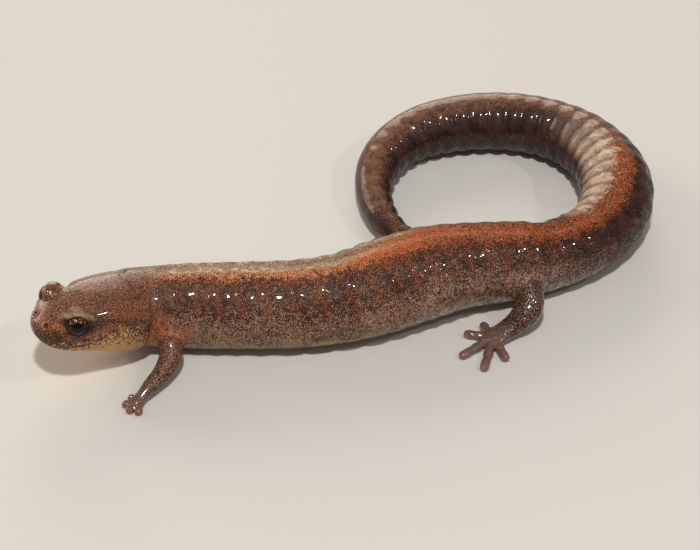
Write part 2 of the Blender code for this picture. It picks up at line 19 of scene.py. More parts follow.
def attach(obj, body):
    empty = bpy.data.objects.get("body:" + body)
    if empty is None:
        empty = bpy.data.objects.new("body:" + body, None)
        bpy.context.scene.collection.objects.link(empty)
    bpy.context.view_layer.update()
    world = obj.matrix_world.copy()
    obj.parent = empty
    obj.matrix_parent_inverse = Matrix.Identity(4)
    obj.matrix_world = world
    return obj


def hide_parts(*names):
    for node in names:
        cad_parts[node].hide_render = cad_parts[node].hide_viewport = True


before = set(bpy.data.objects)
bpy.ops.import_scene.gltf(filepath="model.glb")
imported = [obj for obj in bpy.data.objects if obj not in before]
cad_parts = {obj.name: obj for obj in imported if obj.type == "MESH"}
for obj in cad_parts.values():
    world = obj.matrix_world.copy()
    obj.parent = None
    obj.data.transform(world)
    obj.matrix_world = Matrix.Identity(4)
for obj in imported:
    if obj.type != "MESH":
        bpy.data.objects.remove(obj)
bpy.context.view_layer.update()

MM = 0.001
# Plan point of the model's own axes that is the origin of the frame
ORIGIN = (0.3, 1.575, 0.0)

# The body, as in the solids
TOTAL_LENGTH = 92.0
SPINE_STEP = 0.05
SNOUT_TIP = (-22.85, -12.45)
SPINE_TURNS = (
    (0, 33), (7.5, 37), (10, 8), (12.5, 1), (18, 1), (23, 12), (28, 25), (32, 22),
    (36, 11), (40, 21), (44, 38), (48, 66), (52, 93), (56, 114), (60, 141),
    (64, 167), (68, 186), (72, 204), (76, 236), (80, 267), (84.5, 296), (88, 335),
    (92, 380),
)
HEAD_HEIGHTS = ((0, 5.35), (4, 4.62), (8, 3.5), (11, 2.97), (14, 2.93))
BELLY_SINK = 0.04
# The end of the tail is round, so its half width and half heights are the same
TAIL_END = ((78, 1.73), (81, 1.45), (84.5, 1.23), (88, 0.93), (92, 0.56))
# Place, half width, and half height above the spine
UPPER_SIZES = (
    (0, 1.8, 0.95), (1.2, 2.05, 1.3), (2, 2.33, 1.68), (2.65, 2.48, 1.93), (4, 2.77, 2.28),
    (5.5, 3.08, 2.48), (7, 3.2, 2.58), (8.3, 3.12, 2.65), (9.3, 2.95, 2.8), (10.5, 3, 2.98),
    (13, 3.2, 3.18), (17, 3.35, 3.23), (23, 3.47, 3.25), (28, 3.73, 3.48),
    (31, 3.67, 3.35), (34, 3.35, 3.2), (38.5, 3.04, 3), (41, 2.66, 2.67),
    (45, 2.65, 2.65), (51, 2.93, 2.9), (57, 2.62, 2.6), (62, 2.43, 2.43),
    (66, 2.38, 2.4), (71, 2.25, 2.25), (75, 1.97, 1.96),
)
HALF_WIDTHS = tuple((place, width) for place, width, height in UPPER_SIZES) + TAIL_END
HALF_HEIGHTS_ABOVE = tuple((place, height) for place, width, height in UPPER_SIZES) + TAIL_END
HALF_HEIGHTS_BELOW = (
    (0, 1.32), (1.2, 1.49), (2, 1.77), (2.65, 1.94), (4, 2.22), (5.5, 2.54), (7, 2.83),
    (8.4, 2.98), (9.1, 2.8), (9.8, 2.78), (10.8, 2.95), (13, 3.02), (17, 3.02), (23, 3.1),
    (28, 3.35), (31, 3.45), (34, 3.25), (38.5, 2.95), (41, 2.65), (45, 2.65),
    (51, 2.88), (57, 2.6), (62, 2.43), (66, 2.37), (71, 2.28), (75, 1.98),
) + TAIL_END
SNOUT_ROUNDING = 1.6
TAIL_ROUNDING = 1.0
# 1 is an ellipse, less is squarer
SECTION_POWERS = (
    (0, 0.88), (2.3, 0.8), (5, 0.86), (9, 0.92), (14, 0.95), (50, 1), (92, 1),
)
AXILLA = 12.1
GROIN = 38.3
COSTAL_FOLDS = 16
FOLD_LENGTHS = ((0, 1.36), (2, 1.65), (4, 2.05), (7, 1.8), (9, 1.45), (12, 1.65), (15, 1.5))
TAIL_RING_LENGTH = 1.5

# The eye along the head and to the side and above its centre line, and its place and angle
EYE_PLACE = (2.38, 1.8, 1.05)
EYE_SPOT = (EYE_PLACE[0], math.degrees(math.atan2(EYE_PLACE[1], EYE_PLACE[2])))
EYE_RADIUS = 0.93
EYE_AXIS = (0.38, 0.88, 0.22)
BROW_SWELLING = 0.28
BROW_HALF_WIDTH = 0.95
# Nostril and mouth, (place, angle)
NOSTRIL_PLACE = (0.5, 32)
MOUTH_LINE = (
    (0.35, 180), (0.42, 160), (0.6, 140), (1.1, 122), (1.9, 112), (2.9, 105),
    (3.9, 97), (4.6, 88), (5.1, 80),
)

# Limbs: points of the centre line from the root inside the trunk to the palm, with the half
# width and half thickness there
FORELEG_SIZES = ((0.95, 0.9), (0.92, 0.88), (0.85, 0.8), (0.72, 0.66), (0.6, 0.52), (0.48, 0.42),
                 (0.62, 0.34))
HINDLEG_SIZES = ((1.1, 1.1), (1.1, 1.05), (1.08, 1), (1.02, 0.88), (0.88, 0.66), (0.95, 0.44),
                 (1.05, 0.34))
LIMBS = {
    "fore_left": {
        "points": ((-13.3, -8.6, 2.9), (-13.25, -10.1, 2.35), (-13.15, -11.2, 1.75),
                   (-13.7, -12.45, 1.2), (-14.55, -13.6, 0.85), (-15.2, -14.4, 0.5),
                   (-15.55, -14.85, 0.32)),
        "toes": ((-16.1, -14.05), (-16.6, -15), (-16.15, -15.8), (-15.25, -16)),
    },
    "fore_right": {
        "points": ((-13.2, -5.8, 2.9), (-13.1, -4.3, 2.35), (-12.5, -3.3, 1.75),
                   (-12.7, -2.5, 1.2), (-13.3, -2, 0.85), (-14, -1.7, 0.5),
                   (-14.45, -1.5, 0.32)),
        "toes": ((-15.6, -2.3), (-16.1, -1.4), (-15.75, -0.45), (-14.8, -0.1)),
    },
    "hind_left": {
        "points": ((13.5, -3.2, 3), (13.5, -4.7, 2.45), (13.45, -5.9, 1.8), (12.85, -6.6, 1.3),
                   (12, -7.1, 0.85), (11.2, -7.5, 0.5), (10.7, -7.75, 0.34)),
        "toes": ((9.95, -5.95), (8.52, -7.12), (8.15, -9.8), (9.85, -11.25), (11.65, -10.15)),
    },
    "hind_right": {
        "points": ((12.7, 0, 3), (12.9, 1.4, 2.45), (13.35, 2.5, 1.8), (13.2, 3.2, 1.3),
                   (12.6, 3.6, 0.85), (11.9, 3.75, 0.5), (11.4, 3.8, 0.34)),
        "toes": ((10.75, 2.75), (9.95, 3.4), (9.75, 4.4), (10.4, 5.3), (11.5, 5.45)),
    },
}
TOE_HALF_WIDTHS = {"fore": 0.33, "hind": 0.37}
# Height of a toe as a share of its width
TOE_FLATNESS = 0.87
TOE_HEIGHT = 0.25
TOE_SLOPE = 0.12
# Half size of a toe at shares of its length
TOE_SWELLING = ((0, 1.55), (0.14, 1.34), (0.25, 1.12), (0.39, 0.97), (0.54, 1.06), (0.72, 0.89),
                (0.88, 1), (1, 0.96))
# How far a palm's round end reaches past its line
PALM_END_ROUNDINGS = {"fore": 0.6, "hind": 0.9}

# The sheet: sides round the body, then how far apart its rows are, up to a place, and how many
# rows the round ends have
SHEET_SIDES = 112
ROW_STEPS = ((9.5, 0.085), (40, 0.19), (TOTAL_LENGTH - TAIL_ROUNDING, 0.22))
SNOUT_ROWS = 22
TAIL_TIP_ROWS = 8
# Lines on the face round which the sheet is finer, and how far round them
REFINED = (((EYE_SPOT, EYE_SPOT), 1.75), ((NOSTRIL_PLACE, NOSTRIL_PLACE), 0.45), (MOUTH_LINE, 0.28))

LIMB_ROWS = 62
LIMB_SIDES = 36
TOE_ROWS = 28
TOE_SIDES = 20
TOE_ROOT_REACH = 0.1
# Share of a tube's rows that its round far end takes, and where its blunt near end is full
ROUND_END_SHARE = 0.2
BLUNT_END_TO = 0.02

# Lids: how far from the middle of the eye they reach, their thickness over the ball, how much
# fuller the upper one is, and how softly they run into the head
LID_REACH = 2.6
LID_THICKNESS = 0.12
LID_FULLNESS = 0.7
LID_BLEND = 0.16
# The opening as seen from the front of the eye, in ball radii, and how much lower its corners are
OPENING_HALF_LENGTH = 0.97
OPENING_HALF_HEIGHT = 0.74
OPENING_TILT = 16.0
CORNER_PINCH = 0.18
CORNER_FROM = (0.2, 0.9)
BEHIND_EYE = 3.0
# Across the lids, where the opening's edge is 1: crest of the upper lid and its half width, folds
# of the upper and lower lid by their depth, middle and half width, and edge of the ball's opening
LID_CREST = (1.25, 0.22)
UPPER_FOLD = (0.1, 1.62, 0.12)
LOWER_FOLD = (0.04, 1.5, 0.14)
OPENING_EDGE = (0.93, 1.06)
# How far above and below the middle of the eye the upper and lower lid begin
UPPER_FROM = (0, 0.35)
LOWER_FROM = (0.1, 0.4)
# Pale line on the upper lid: where across it comes and goes, a fainter one's strength, middle and
# half width, how far up they come in, and how far from the middle of the eye they go
LID_LINE = ((1.03, 1.14), (1.16, 1.34))
FAINT_LINE = (0.5, 1.7, 0.09)
LINES_FROM = (0.2, 0.5)
LINES_TO = (1.25, 1.45)
DARK_RIM = (0.98, 1.08)
# How deep the skin lies under the ball in the opening
UNDER_BALL = 0.16
# The wet eye's bulge as a share of its radius, and the bulge's half width in degrees
BALL_BULGE = (0.05, 42)
BALL_SEGMENTS = (56, 40)

# How far from the line of a leg its skin and its toes reach, and over which distances its colours
# end there, begin outside the plain body, and turn to the foot's at the points of its line
LEG_REACH = 2.0
TOE_REACH = 4.2
REACH_EDGE = (-0.4, 0)
OUTSIDE_BODY = (0.1, 0.6)
FOOT_EDGE = (-0.2, 0.4)
TIP_HALF_WIDTH = 0.65

# Joins of legs and toes: least angle of a valley, how far from a leg's root it may be, then how
# many rings of vertices are smoothed and how often
VALLEY_ANGLE = 0.4
LIMB_REACH = 9.0
SOFTENED_RINGS = 3
SOFTENING_ROUNDS = 10

# How much further back a rib is for each degree down the flank from an angle, and where that ends
RIB_LEAN = 0.008
LEAN_FROM = 40.0
LEAN_END = (34, 40)

# Depths of the relief and half widths
COSTAL_PILLOW = (0.1, 0.42)
COSTAL_LINE = (0.1, 0.13)
RING_PILLOW = (0.07, 0.38)
INNER_BEND_RIBS = (0.12, 0.3)
BACK_GROOVE = (0.17, 6.5)
BACK_RIDGES = (0.07, 12, 7.5)
# Place, depth, half width, and the angles between which it comes in
THROAT_FOLD = (8.7, 0.3, 0.28, (90, 125))
MOUTH_GROOVE = (0.17, 0.1)
# Half width of the painted shade along the mouth's groove
MOUTH_LINE_HALF_WIDTH = 0.09
# Between which angles the ribs come in and go, and the rings go
FLANK = ((22, 50), (105, 145))
RINGS_TO = (120, 160)
# Between which places and angles the inner side of the bend begins, and the outer side of the
# curl, where most of the rings' depth is lost
INNER_BEND = ((41, 46), (14, 40))
OUTER_CURL = ((60, 68), (10, 45))
OUTER_CURL_LOSS = 0.85
# Between which places the groove along the back comes in and goes
BACK_RUN = ((8.5, 12), (40, 56))
NOSTRIL_PIT = (0.24, 0.15)
# How far from the nostril its pale rim is, then the rim's height and half width
NOSTRIL_RIM = (0.25, 0.07, 0.08)
# The rim before the nostril only is painted pale as a highlight, and the pit is painted dark as shade
RIM_FROM = (-0.12, 0.12)
NOSTRIL_DARK_HALF_WIDTH = 0.16
# How pale the right lid is beside the left one
FAR_LID_PALENESS = 0.25
# Middle of the back as an angle from the top, (place, angle)
BACK_MIDDLES = ((0, -2), (7, -6), (12, -13), (25, -12), (31, -8), (36, -3),
                (40, 3), (46, 6), (60, 5), (92, 0))
# Half width of the coloured band along the back as an angle, (place, angle)
BAND_HALF_WIDTHS = ((0, 4), (7, 10), (9.5, 24), (14, 25), (25, 26), (31, 25),
                    (36, 27), (42, 30), (50, 27), (60, 26), (67, 36),
                    (75, 42), (92, 45))
# Place that parts the spine in two, since a point beside the curl is near both parts
TAIL_PARTED = 62.0
# Upper edge of the pale jaw, (place, angle)
JAW_EDGE = ((0, 178), (0.45, 158), (0.6, 140), (1.1, 122), (1.9, 112), (2.9, 105),
            (3.9, 98), (4.8, 91), (6, 88), (7.5, 94), (8.6, 106), (9.2, 140))
# Rusty marks of the face and shoulder: (place, angle) points, half width and strength
RUST_MARKS = (
    (((1, 45), (1.3, 52)), 0.25, 0.8), (((0.2, 0), (0.8, 2)), 0.5, 0.15),
    (((1.8, 70), (1.6, 85)), 0.3, 0.3), (((5, 55), (7.5, 60)), 0.9, 0.25),
    (((3.4, 88), (5.2, 80)), 0.6, 0.45),
    (((9.5, 98), (9.8, 128)), 0.65, 1), (((10.1, 76), (10.8, 92), (12.4, 96)), 0.75, 0.6),
)
# Creases of the head: (place, angle) points, depth and half width. Paired ones are on both sides
NAPE_CREASES = (
    (((8.1, -45), (7.9, -20), (7.3, -2), (7.3, 19)), 0.16, 0.13),
    (((8.9, -30), (8.7, -8), (8.5, 4)), 0.13, 0.12),
    (((3.5, -36), (3.8, -58)), 0.22, 0.3),
)
PAIRED_CREASES = (
    (((8.2, 24), (7.9, 28), (6.9, 34)), 0.08, 0.1),
    (((3.1, 58), (4.9, 67), (6.3, 70), (7.2, 72)), 0.16, 0.12),
    (((7.2, 72), (8.1, 85), (8.7, 103), (8.6, 130)), 0.1, 0.2),
    (((0.75, 52), (0.9, 75), (1, 105), (1.05, 118)), 0.04, 0.07),
)

# How far the specks' noise has to pass a threshold to be wholly a speck
SPECK_EDGE = 0.05

# Floor, in millimetres
FLOOR_HALF_SIZE = 2000.0
FLOOR_GREY = (0.6, 0.59, 0.57, 1.0)

# Camera and light, in metres and degrees
PICTURE_WIDTH = 700.0
FOCAL_LENGTH_PIXELS = 2590.0
SENSOR_WIDTH_MM = 36.0
CAMERA_ELEVATION = 40.0
CAMERA_DISTANCE = 0.2
NEARLY_WHITE = (1.0, 0.96, 0.9)
WARM = (1.0, 0.86, 0.7)
# Name, azimuth, elevation, distance, size, power and tint
LIGHTS = (
    ("overhead", 0.0, 66.0, 0.4, 0.03, 1.05, NEARLY_WHITE),
    ("overhead_right", 70.0, 46.0, 0.4, 0.014, 0.16, NEARLY_WHITE),
    ("low_back", 185.0, 20.0, 0.45, 0.3, 0.9, WARM),
    ("low_left", 238.0, 22.0, 0.45, 0.26, 0.8, WARM),
)


# Curves and distances

def smooth_value(table, place):
    """Monotone cubic curve through the (place, value) pairs of a table."""
    places, values = np.array(table, dtype=float).T
    steps = np.diff(places)
    slopes = np.diff(values) / steps
    tangents = np.concatenate(([slopes[0]], np.zeros(len(places) - 2), [slopes[-1]]))
    for i in range(1, len(places) - 1):
        if slopes[i - 1] * slopes[i] > 0.0:
            before = 2.0 * steps[i] + steps[i - 1]
            after = steps[i] + 2.0 * steps[i - 1]
            tangents[i] = (before + after) / (before / slopes[i - 1] + after / slopes[i])
    cell = np.clip(np.searchsorted(places, place, side="right") - 1, 0, len(places) - 2)
    t = (place - places[cell]) / steps[cell]
    start = (1 + 2 * t) * (1 - t) ** 2 * values[cell] + t * (1 - t) ** 2 * steps[cell] * tangents[cell]
    end = t * t * (3 - 2 * t) * values[cell + 1]
    return start + end + t * t * (t - 1) * steps[cell] * tangents[cell + 1]


def bell(distance, half_width):
    """1 at no distance, falling smoothly to about 0 at twice the half width."""
    return np.exp(-(distance / half_width) ** 2)


def rise(value, low, high):
    """0 below low, 1 above high, smooth between."""
    t = np.clip((value - low) / (high - low), 0.0, 1.0)
    return t * t * (3.0 - 2.0 * t)


def fall(value, low, high):
    return 1.0 - rise(value, low, high)


def unit(vectors):
    return vectors / np.linalg.norm(vectors, axis=-1, keepdims=True)


def line_distance(points, line):
    """Least distance from 2-D points to a line through 2-D points."""
    line = np.array(line, dtype=float)
    least = np.full(len(points), np.inf)
    for start, end in zip(line[:-1], line[1:]):
        run = end - start
        t = np.clip((points - start) @ run / max(run @ run, 1e-12), 0.0, 1.0)
        least = np.minimum(least, np.linalg.norm(points - start - t[:, None] * run, axis=1))
    return least


# The spine and the plain form

def trace_spine():
    """Distance, position, heading and slope along the spine."""
    place = np.arange(0.0, TOTAL_LENGTH + SPINE_STEP / 2, SPINE_STEP)
    resting = smooth_value(HALF_HEIGHTS_BELOW, place) * (1.0 - BELLY_SINK)
    raised = smooth_value(HEAD_HEIGHTS, np.minimum(place, HEAD_HEIGHTS[-1][0]))
    height = np.where(place < HEAD_HEIGHTS[-1][0], raised, resting)
    heading = np.radians(smooth_value(SPINE_TURNS, place))
    slope = np.gradient(height, place)
    run = np.sqrt(1.0 - slope ** 2) * SPINE_STEP
    x = SNOUT_TIP[0] + np.concatenate(([0.0], np.cumsum(np.cos(heading[:-1]) * run[:-1])))
    y = SNOUT_TIP[1] + np.concatenate(([0.0], np.cumsum(np.sin(heading[:-1]) * run[:-1])))
    return place, np.stack((x, y, height), axis=1), heading, slope


SPINE_PLACES, SPINE_POINTS, SPINE_HEADINGS, SPINE_SLOPES = trace_spine()


def points_at(at, along, line):
    """Points of a line of 3-D points at distances along it."""
    return np.stack([np.interp(at, along, line[:, i]) for i in range(3)], axis=1)


def spine_frame(place):
    """Centres, directions towards the tail, directions to the left and directions up."""
    place = np.atleast_1d(place)
    centre = points_at(place, SPINE_PLACES, SPINE_POINTS)
    heading = np.interp(place, SPINE_PLACES, SPINE_HEADINGS)
    slope = np.interp(place, SPINE_PLACES, SPINE_SLOPES)
    level = np.sqrt(1.0 - slope ** 2)
    backward = np.stack((np.cos(heading) * level, np.sin(heading) * level, slope), axis=1)
    left = np.stack((np.sin(heading), -np.cos(heading), np.zeros_like(heading)), axis=1)
    return centre, backward, left, np.cross(left, backward)


def section(place, angle):
    """Distances to the left and up of the plain form, and the share of them left at its round ends."""
    front = np.minimum(place / SNOUT_ROUNDING, 1.0)
    back = np.minimum((TOTAL_LENGTH - place) / TAIL_ROUNDING, 1.0)
    cap = np.sqrt(1.0 - (1.0 - front) ** 2) * np.sqrt(1.0 - (1.0 - back) ** 2)
    power = smooth_value(SECTION_POWERS, place)
    sine, cosine = np.sin(np.radians(angle)), np.cos(np.radians(angle))
    above, below = smooth_value(HALF_HEIGHTS_ABOVE, place), smooth_value(HALF_HEIGHTS_BELOW, place)
    left = smooth_value(HALF_WIDTHS, place) * np.sign(sine) * np.abs(sine) ** power
    up = np.where(cosine > 0.0, above, below) * np.sign(cosine) * np.abs(cosine) ** power
    return left, up, cap


def plain_skin(place, angle):
    """Points of the skin before its relief, with the swelling of the brows."""
    left_by, up_by, cap = section(place, angle)
    across = np.radians(np.abs(angle) - EYE_SPOT[1]) * math.hypot(*EYE_PLACE[1:])
    brow = BROW_SWELLING * bell(np.hypot(place - EYE_SPOT[0], across), BROW_HALF_WIDTH)
    grown = cap * (1.0 + brow / np.hypot(left_by, up_by))
    centre, backward, left, up = spine_frame(place)
    return centre + (left_by * grown)[:, None] * left + (up_by * grown)[:, None] * up


def fold_places():
    """Places of the grooves between the ribs."""
    lengths = smooth_value(FOLD_LENGTHS, np.arange(COSTAL_FOLDS))
    ends = np.concatenate(([0.0], np.cumsum(lengths)))
    return AXILLA + ends * (GROIN - AXILLA) / ends[-1]


COSTAL_GROOVES = fold_places()
TAIL_RINGS = np.arange(GROIN + TAIL_RING_LENGTH, TOTAL_LENGTH - 1.0, TAIL_RING_LENGTH)


def along_ribs(place, angle):
    """Place with the lean of the trunk's ribs taken off."""
    return place - RIB_LEAN * (np.abs(angle) - LEAN_FROM) * fall(place, *LEAN_END)


def distance_to_nearest(lines, place):
    return np.min(np.abs(lines[:, None] - place[None, :]), axis=0)


def degree_length(place):
    """Millimetres of skin for each degree round the body."""
    radius = 0.5 * (smooth_value(HALF_WIDTHS, place) + smooth_value(HALF_HEIGHTS_ABOVE, place))
    return np.radians(1.0) * radius


def flat_spots(place, angle):
    """Spots of the skin laid flat in millimetres, true to size near the head."""
    return np.stack((place, angle * degree_length(place)), axis=1)


def flat_line(line):
    return flat_spots(*np.array(line, dtype=float).T)


def creases(place, angle):
    """Depth of each crease of the head, and 1 on its line falling to 0 beside it."""
    for lines, around in ((NAPE_CREASES, angle), (PAIRED_CREASES, np.abs(angle))):
        spots = flat_spots(place, around)
        for line, depth, half_width in lines:
            yield depth, bell(line_distance(spots, flat_line(line)), half_width)


def relief(place, angle):
    """Depth of the skin's folds below the plain form."""
    side = np.abs(angle)
    at, depth, half_width, throat = THROAT_FOLD
    total = depth * bell(place - at, half_width) * rise(side, *throat)
    for depth, near in creases(place, angle):
        total += depth * near
    # Ribs along the flank, then the rings of the tail
    nearest = distance_to_nearest(COSTAL_GROOVES, along_ribs(place, angle))
    for depth, half_width in (COSTAL_PILLOW, COSTAL_LINE):
        total += depth * bell(nearest, half_width) * rise(side, *FLANK[0]) * fall(side, *FLANK[1])
    nearest = distance_to_nearest(TAIL_RINGS, place)
    above_belly = fall(side, *RINGS_TO)
    kept = 1.0 - OUTER_CURL_LOSS * rise(place, *OUTER_CURL[0]) * rise(angle, *OUTER_CURL[1])
    total += RING_PILLOW[0] * bell(nearest, RING_PILLOW[1]) * above_belly * kept
    inner = rise(place, *INNER_BEND[0]) * rise(-angle, *INNER_BEND[1]) * above_belly
    total += INNER_BEND_RIBS[0] * bell(nearest, INNER_BEND_RIBS[1]) * inner
    # The groove along the back with a ridge on each side of it
    along_back = rise(place, *BACK_RUN[0]) * fall(place, *BACK_RUN[1])
    aside = angle - smooth_value(BACK_MIDDLES, place)
    total += BACK_GROOVE[0] * bell(aside, BACK_GROOVE[1]) * along_back
    height, at, half_width = BACK_RIDGES
    total -= height * (bell(aside - at, half_width) + bell(aside + at, half_width)) * along_back
    return total


# Making meshes

def new_object(name, work):
    """Object from a bmesh, facing outwards and shaded smooth."""
    bmesh.ops.recalc_face_normals(work, faces=work.faces)
    mesh = bpy.data.meshes.new(name)
    work.to_mesh(mesh)
    work.free()
    mesh.shade_smooth()
    thing = bpy.data.objects.new(name, mesh)
    bpy.context.scene.collection.objects.link(thing)
    return thing


def finished_object(name, work):
    """Object in metres in the frame's axes from a bmesh in millimetres on the model's axes."""
    bmesh.ops.translate(work, verts=work.verts, vec=-Vector(ORIGIN))
    bmesh.ops.scale(work, verts=work.verts, vec=(MM, MM, MM))
    return new_object(name, work)


def coordinates(work):
    return np.array([vertex.co[:] for vertex in work.verts])


def move_to(work, points):
    for vertex, point in zip(work.verts, points):
        vertex.co = point


def write_mark(work, name, vectors):
    """Give the vertices vectors of three under a name."""
    layer = work.verts.layers.float_vector.new(name)
    for vertex, vector in zip(work.verts, vectors):
        vertex[layer] = vector
    return layer


def sheet(rows, columns):
    """Flat sheet whose x is the number of its row and whose y is its column's share of a turn."""
    work = bmesh.new()
    bmesh.ops.create_grid(work, x_segments=rows, y_segments=columns, size=0.5)
    for vertex in work.verts:
        vertex.co.x = (vertex.co.x + 0.5) * rows
        vertex.co.y = vertex.co.y + 0.5
    return work


# The body's skin

def row_places():
    """Places of the sheet's rows, closer together on the head and at the round ends."""
    turns = np.linspace(0.0, 90.0, SNOUT_ROWS + 1)
    places = list(SNOUT_ROUNDING * (1.0 - np.cos(np.radians(turns))))
    for end, step in ROW_STEPS:
        count = round((end - places[-1]) / step)
        places.extend(np.linspace(places[-1], end, count + 1)[1:])
    turns = np.linspace(90.0, 0.0, TAIL_TIP_ROWS + 1)[1:]
    places.extend(TOTAL_LENGTH - TAIL_ROUNDING * (1.0 - np.cos(np.radians(turns))))
    return np.array(places)


def eye_frame(side):
    """Centre of an eye with the directions in which it looks, forward along it and up it. Side is 1
    on the left and -1 on the right."""
    along, aside, above = EYE_PLACE
    centre, backward, left, up = (vectors[0] for vectors in spine_frame(along))
    middle = centre + left * aside * side + up * above
    forward, aside, above = EYE_AXIS
    gaze = unit(-backward * forward + left * aside * side + up * above)
    ahead = unit(-backward + gaze * np.dot(backward, gaze))
    upward = np.cross(gaze, ahead)
    return middle, gaze, ahead, upward * np.sign(upward[2])


def refine(work, near):
    """Cut the cells in two both ways where the spots are near something."""
    spots = coordinates(work)
    close = near(spots[:, 0], spots[:, 1])
    for vertex, chosen in zip(work.verts, close):
        vertex.select = bool(chosen)
    edges = [edge for edge in work.edges if edge.verts[0].select and edge.verts[1].select]
    bmesh.ops.subdivide_edges(work, edges=edges, cuts=1, use_grid_fill=True)


def lid_spots(points, side):
    """Which points are near an eye, their way and distance from its centre and where they are on
    the lids: 0 in the middle of the opening, 1 on its edge, and how far up."""
    centre, gaze, ahead, upward = eye_frame(side)
    out = points - centre
    reach = np.linalg.norm(out, axis=1)
    near = reach < LID_REACH
    way = out[near] / reach[near][:, None]
    tilt = math.radians(OPENING_TILT)
    x, y = way @ ahead, way @ upward
    x, y = x * math.cos(tilt) + y * math.sin(tilt), y * math.cos(tilt) - x * math.sin(tilt)
    high = OPENING_HALF_HEIGHT * (1.0 - CORNER_PINCH * rise(x, *CORNER_FROM))
    across = np.hypot(x / OPENING_HALF_LENGTH, y / high)
    across = np.where(way @ gaze > 0.0, across, BEHIND_EYE)
    return near, way, reach[near], across, y


def shape_lids(points):
    """Points near each eye moved out over its ball as lids, and under the ball in the opening."""
    for side in (1, -1):
        near, way, reach, across, y = lid_spots(points, side)
        upper, lower = rise(y, *UPPER_FROM), rise(-y, *LOWER_FROM)
        crest, crest_half_width = LID_CREST
        full = 1.0 + LID_FULLNESS * bell(across - crest, crest_half_width) * upper
        lid = EYE_RADIUS + LID_THICKNESS * full
        over = np.logaddexp(reach / LID_BLEND, lid / LID_BLEND) * LID_BLEND
        for (depth, at, half_width), share in ((UPPER_FOLD, upper), (LOWER_FOLD, lower)):
            over -= depth * bell(across - at, half_width) * share
        moved = over + (EYE_RADIUS - UNDER_BALL - over) * fall(across, *OPENING_EDGE)
        points[near] = eye_frame(side)[0] + way * moved[:, None]
    return points


def nostril_distances(points, side):
    """How far points are from the nostril of a side."""
    place, angle = NOSTRIL_PLACE
    return np.linalg.norm(points - plain_skin(np.array([place]), np.array([angle * side])), axis=1)


def body_sheet():
    """The skin of head, trunk and tail as one closed surface."""
    places = row_places()
    work = sheet(len(places) - 1, SHEET_SIDES)

    def spots_of(x, y):
        place = np.interp(x, np.arange(len(places)), places)
        return place, y * 360.0 - 180.0

    def near_face(x, y):
        place, angle = spots_of(x, y)
        spots = flat_spots(place, np.abs(angle))
        return np.any([line_distance(spots, flat_line(line)) < reach for line, reach in REFINED], axis=0)

    refine(work, near_face)
    spots = coordinates(work)
    place, angle = spots_of(spots[:, 0], spots[:, 1])
    spot = write_mark(work, "spot", np.stack((place, angle, np.zeros_like(angle)), axis=1))
    move_to(work, plain_skin(place, angle))
    bmesh.ops.remove_doubles(work, verts=work.verts, dist=1e-4)
    bmesh.ops.recalc_face_normals(work, faces=work.faces)
    work.normal_update()
    place, angle = np.array([vertex[spot][:2] for vertex in work.verts]).T
    outward = np.array([vertex.normal[:] for vertex in work.verts])
    points = coordinates(work)
    depth = relief(place, angle)
    mirrored = flat_spots(place, np.abs(angle))
    to_mouth = line_distance(mirrored, flat_line(MOUTH_LINE))
    depth += MOUTH_GROOVE[0] * bell(to_mouth, MOUTH_GROOVE[1])
    for side in (1, -1):
        from_nostril = nostril_distances(points, side)
        depth += NOSTRIL_PIT[0] * bell(from_nostril, NOSTRIL_PIT[1])
        depth -= NOSTRIL_RIM[1] * bell(from_nostril - NOSTRIL_RIM[0], NOSTRIL_RIM[2])
    points = shape_lids(points - outward * depth[:, None])
    move_to(work, points)
    return new_object("body_sheet", work)


# Legs and toes

def limb_line(points):
    """Smooth line through the points of a limb, and how far along it its own points and the given
    ones are."""
    points = np.array(points, dtype=float)
    samples = []
    ends = np.concatenate(([2 * points[0] - points[1]], points, [2 * points[-1] - points[-2]]))
    steps = np.linspace(0.0, 1.0, 12, endpoint=False)
    for i in range(len(points) - 1):
        a, b, c, d = ends[i:i + 4]
        for t in steps:
            bend = 2 * a - 5 * b + 4 * c - d
            twist = -a + 3 * b - 3 * c + d
            samples.append(0.5 * (2 * b + (c - a) * t + bend * t ** 2 + twist * t ** 3))
    samples = np.array(samples + [points[-1]])
    along = np.concatenate(([0.0], np.cumsum(np.linalg.norm(np.diff(samples, axis=0), axis=1))))
    return samples, along, along[::len(steps)]


def tube(name, line, along, widths, heights, rows, sides, end_rounding):
    """Closed tube along a line with a round far end and a blunt near one."""
    work = sheet(rows, sides)
    spots = coordinates(work)
    reach = along[-1]
    share = spots[:, 0] / rows
    straight = 1.0 - ROUND_END_SHARE
    turn = np.clip((share - straight) / ROUND_END_SHARE, 0.0, 1.0) * math.pi / 2
    place = np.clip(share / straight, 0.0, 1.0) * reach
    shrink = np.cos(turn) * rise(share, 0.0, BLUNT_END_TO)
    beyond = np.sin(turn) * end_rounding
    width, height = smooth_value(widths, place) * shrink, smooth_value(heights, place) * shrink
    centre = points_at(place, along, line)
    direction = unit(points_at(place + 0.1, along, line) - points_at(place - 0.1, along, line))
    across = unit(np.cross(direction, (0.0, 0.0, 1.0)))
    up = np.cross(across, direction)
    round_by = spots[:, 1] * 2 * math.pi
    points = centre + direction * beyond[:, None]
    points += across * (np.cos(round_by) * width)[:, None] + up * (np.sin(round_by) * height)[:, None]
    move_to(work, points)
    bmesh.ops.remove_doubles(work, verts=work.verts, dist=1e-4)
    return new_object(name, work)


def toe(name, root, tip, half_width):
    """Blunt toe that lies on the floor."""
    root = np.array((root[0], root[1], TOE_HEIGHT + TOE_SLOPE))
    tip = np.array((tip[0], tip[1], TOE_HEIGHT))
    reach = np.linalg.norm(tip - root) - half_width
    direction = unit(tip - root)
    along = np.linspace(0.0, reach, 9)
    line = root + along[:, None] * direction
    widths = [(share * reach, half_width * size) for share, size in TOE_SWELLING]
    heights = [(share * reach, half_width * TOE_FLATNESS * size) for share, size in TOE_SWELLING]
    return tube(name, line, along, widths, heights, TOE_ROWS, TOE_SIDES, half_width)


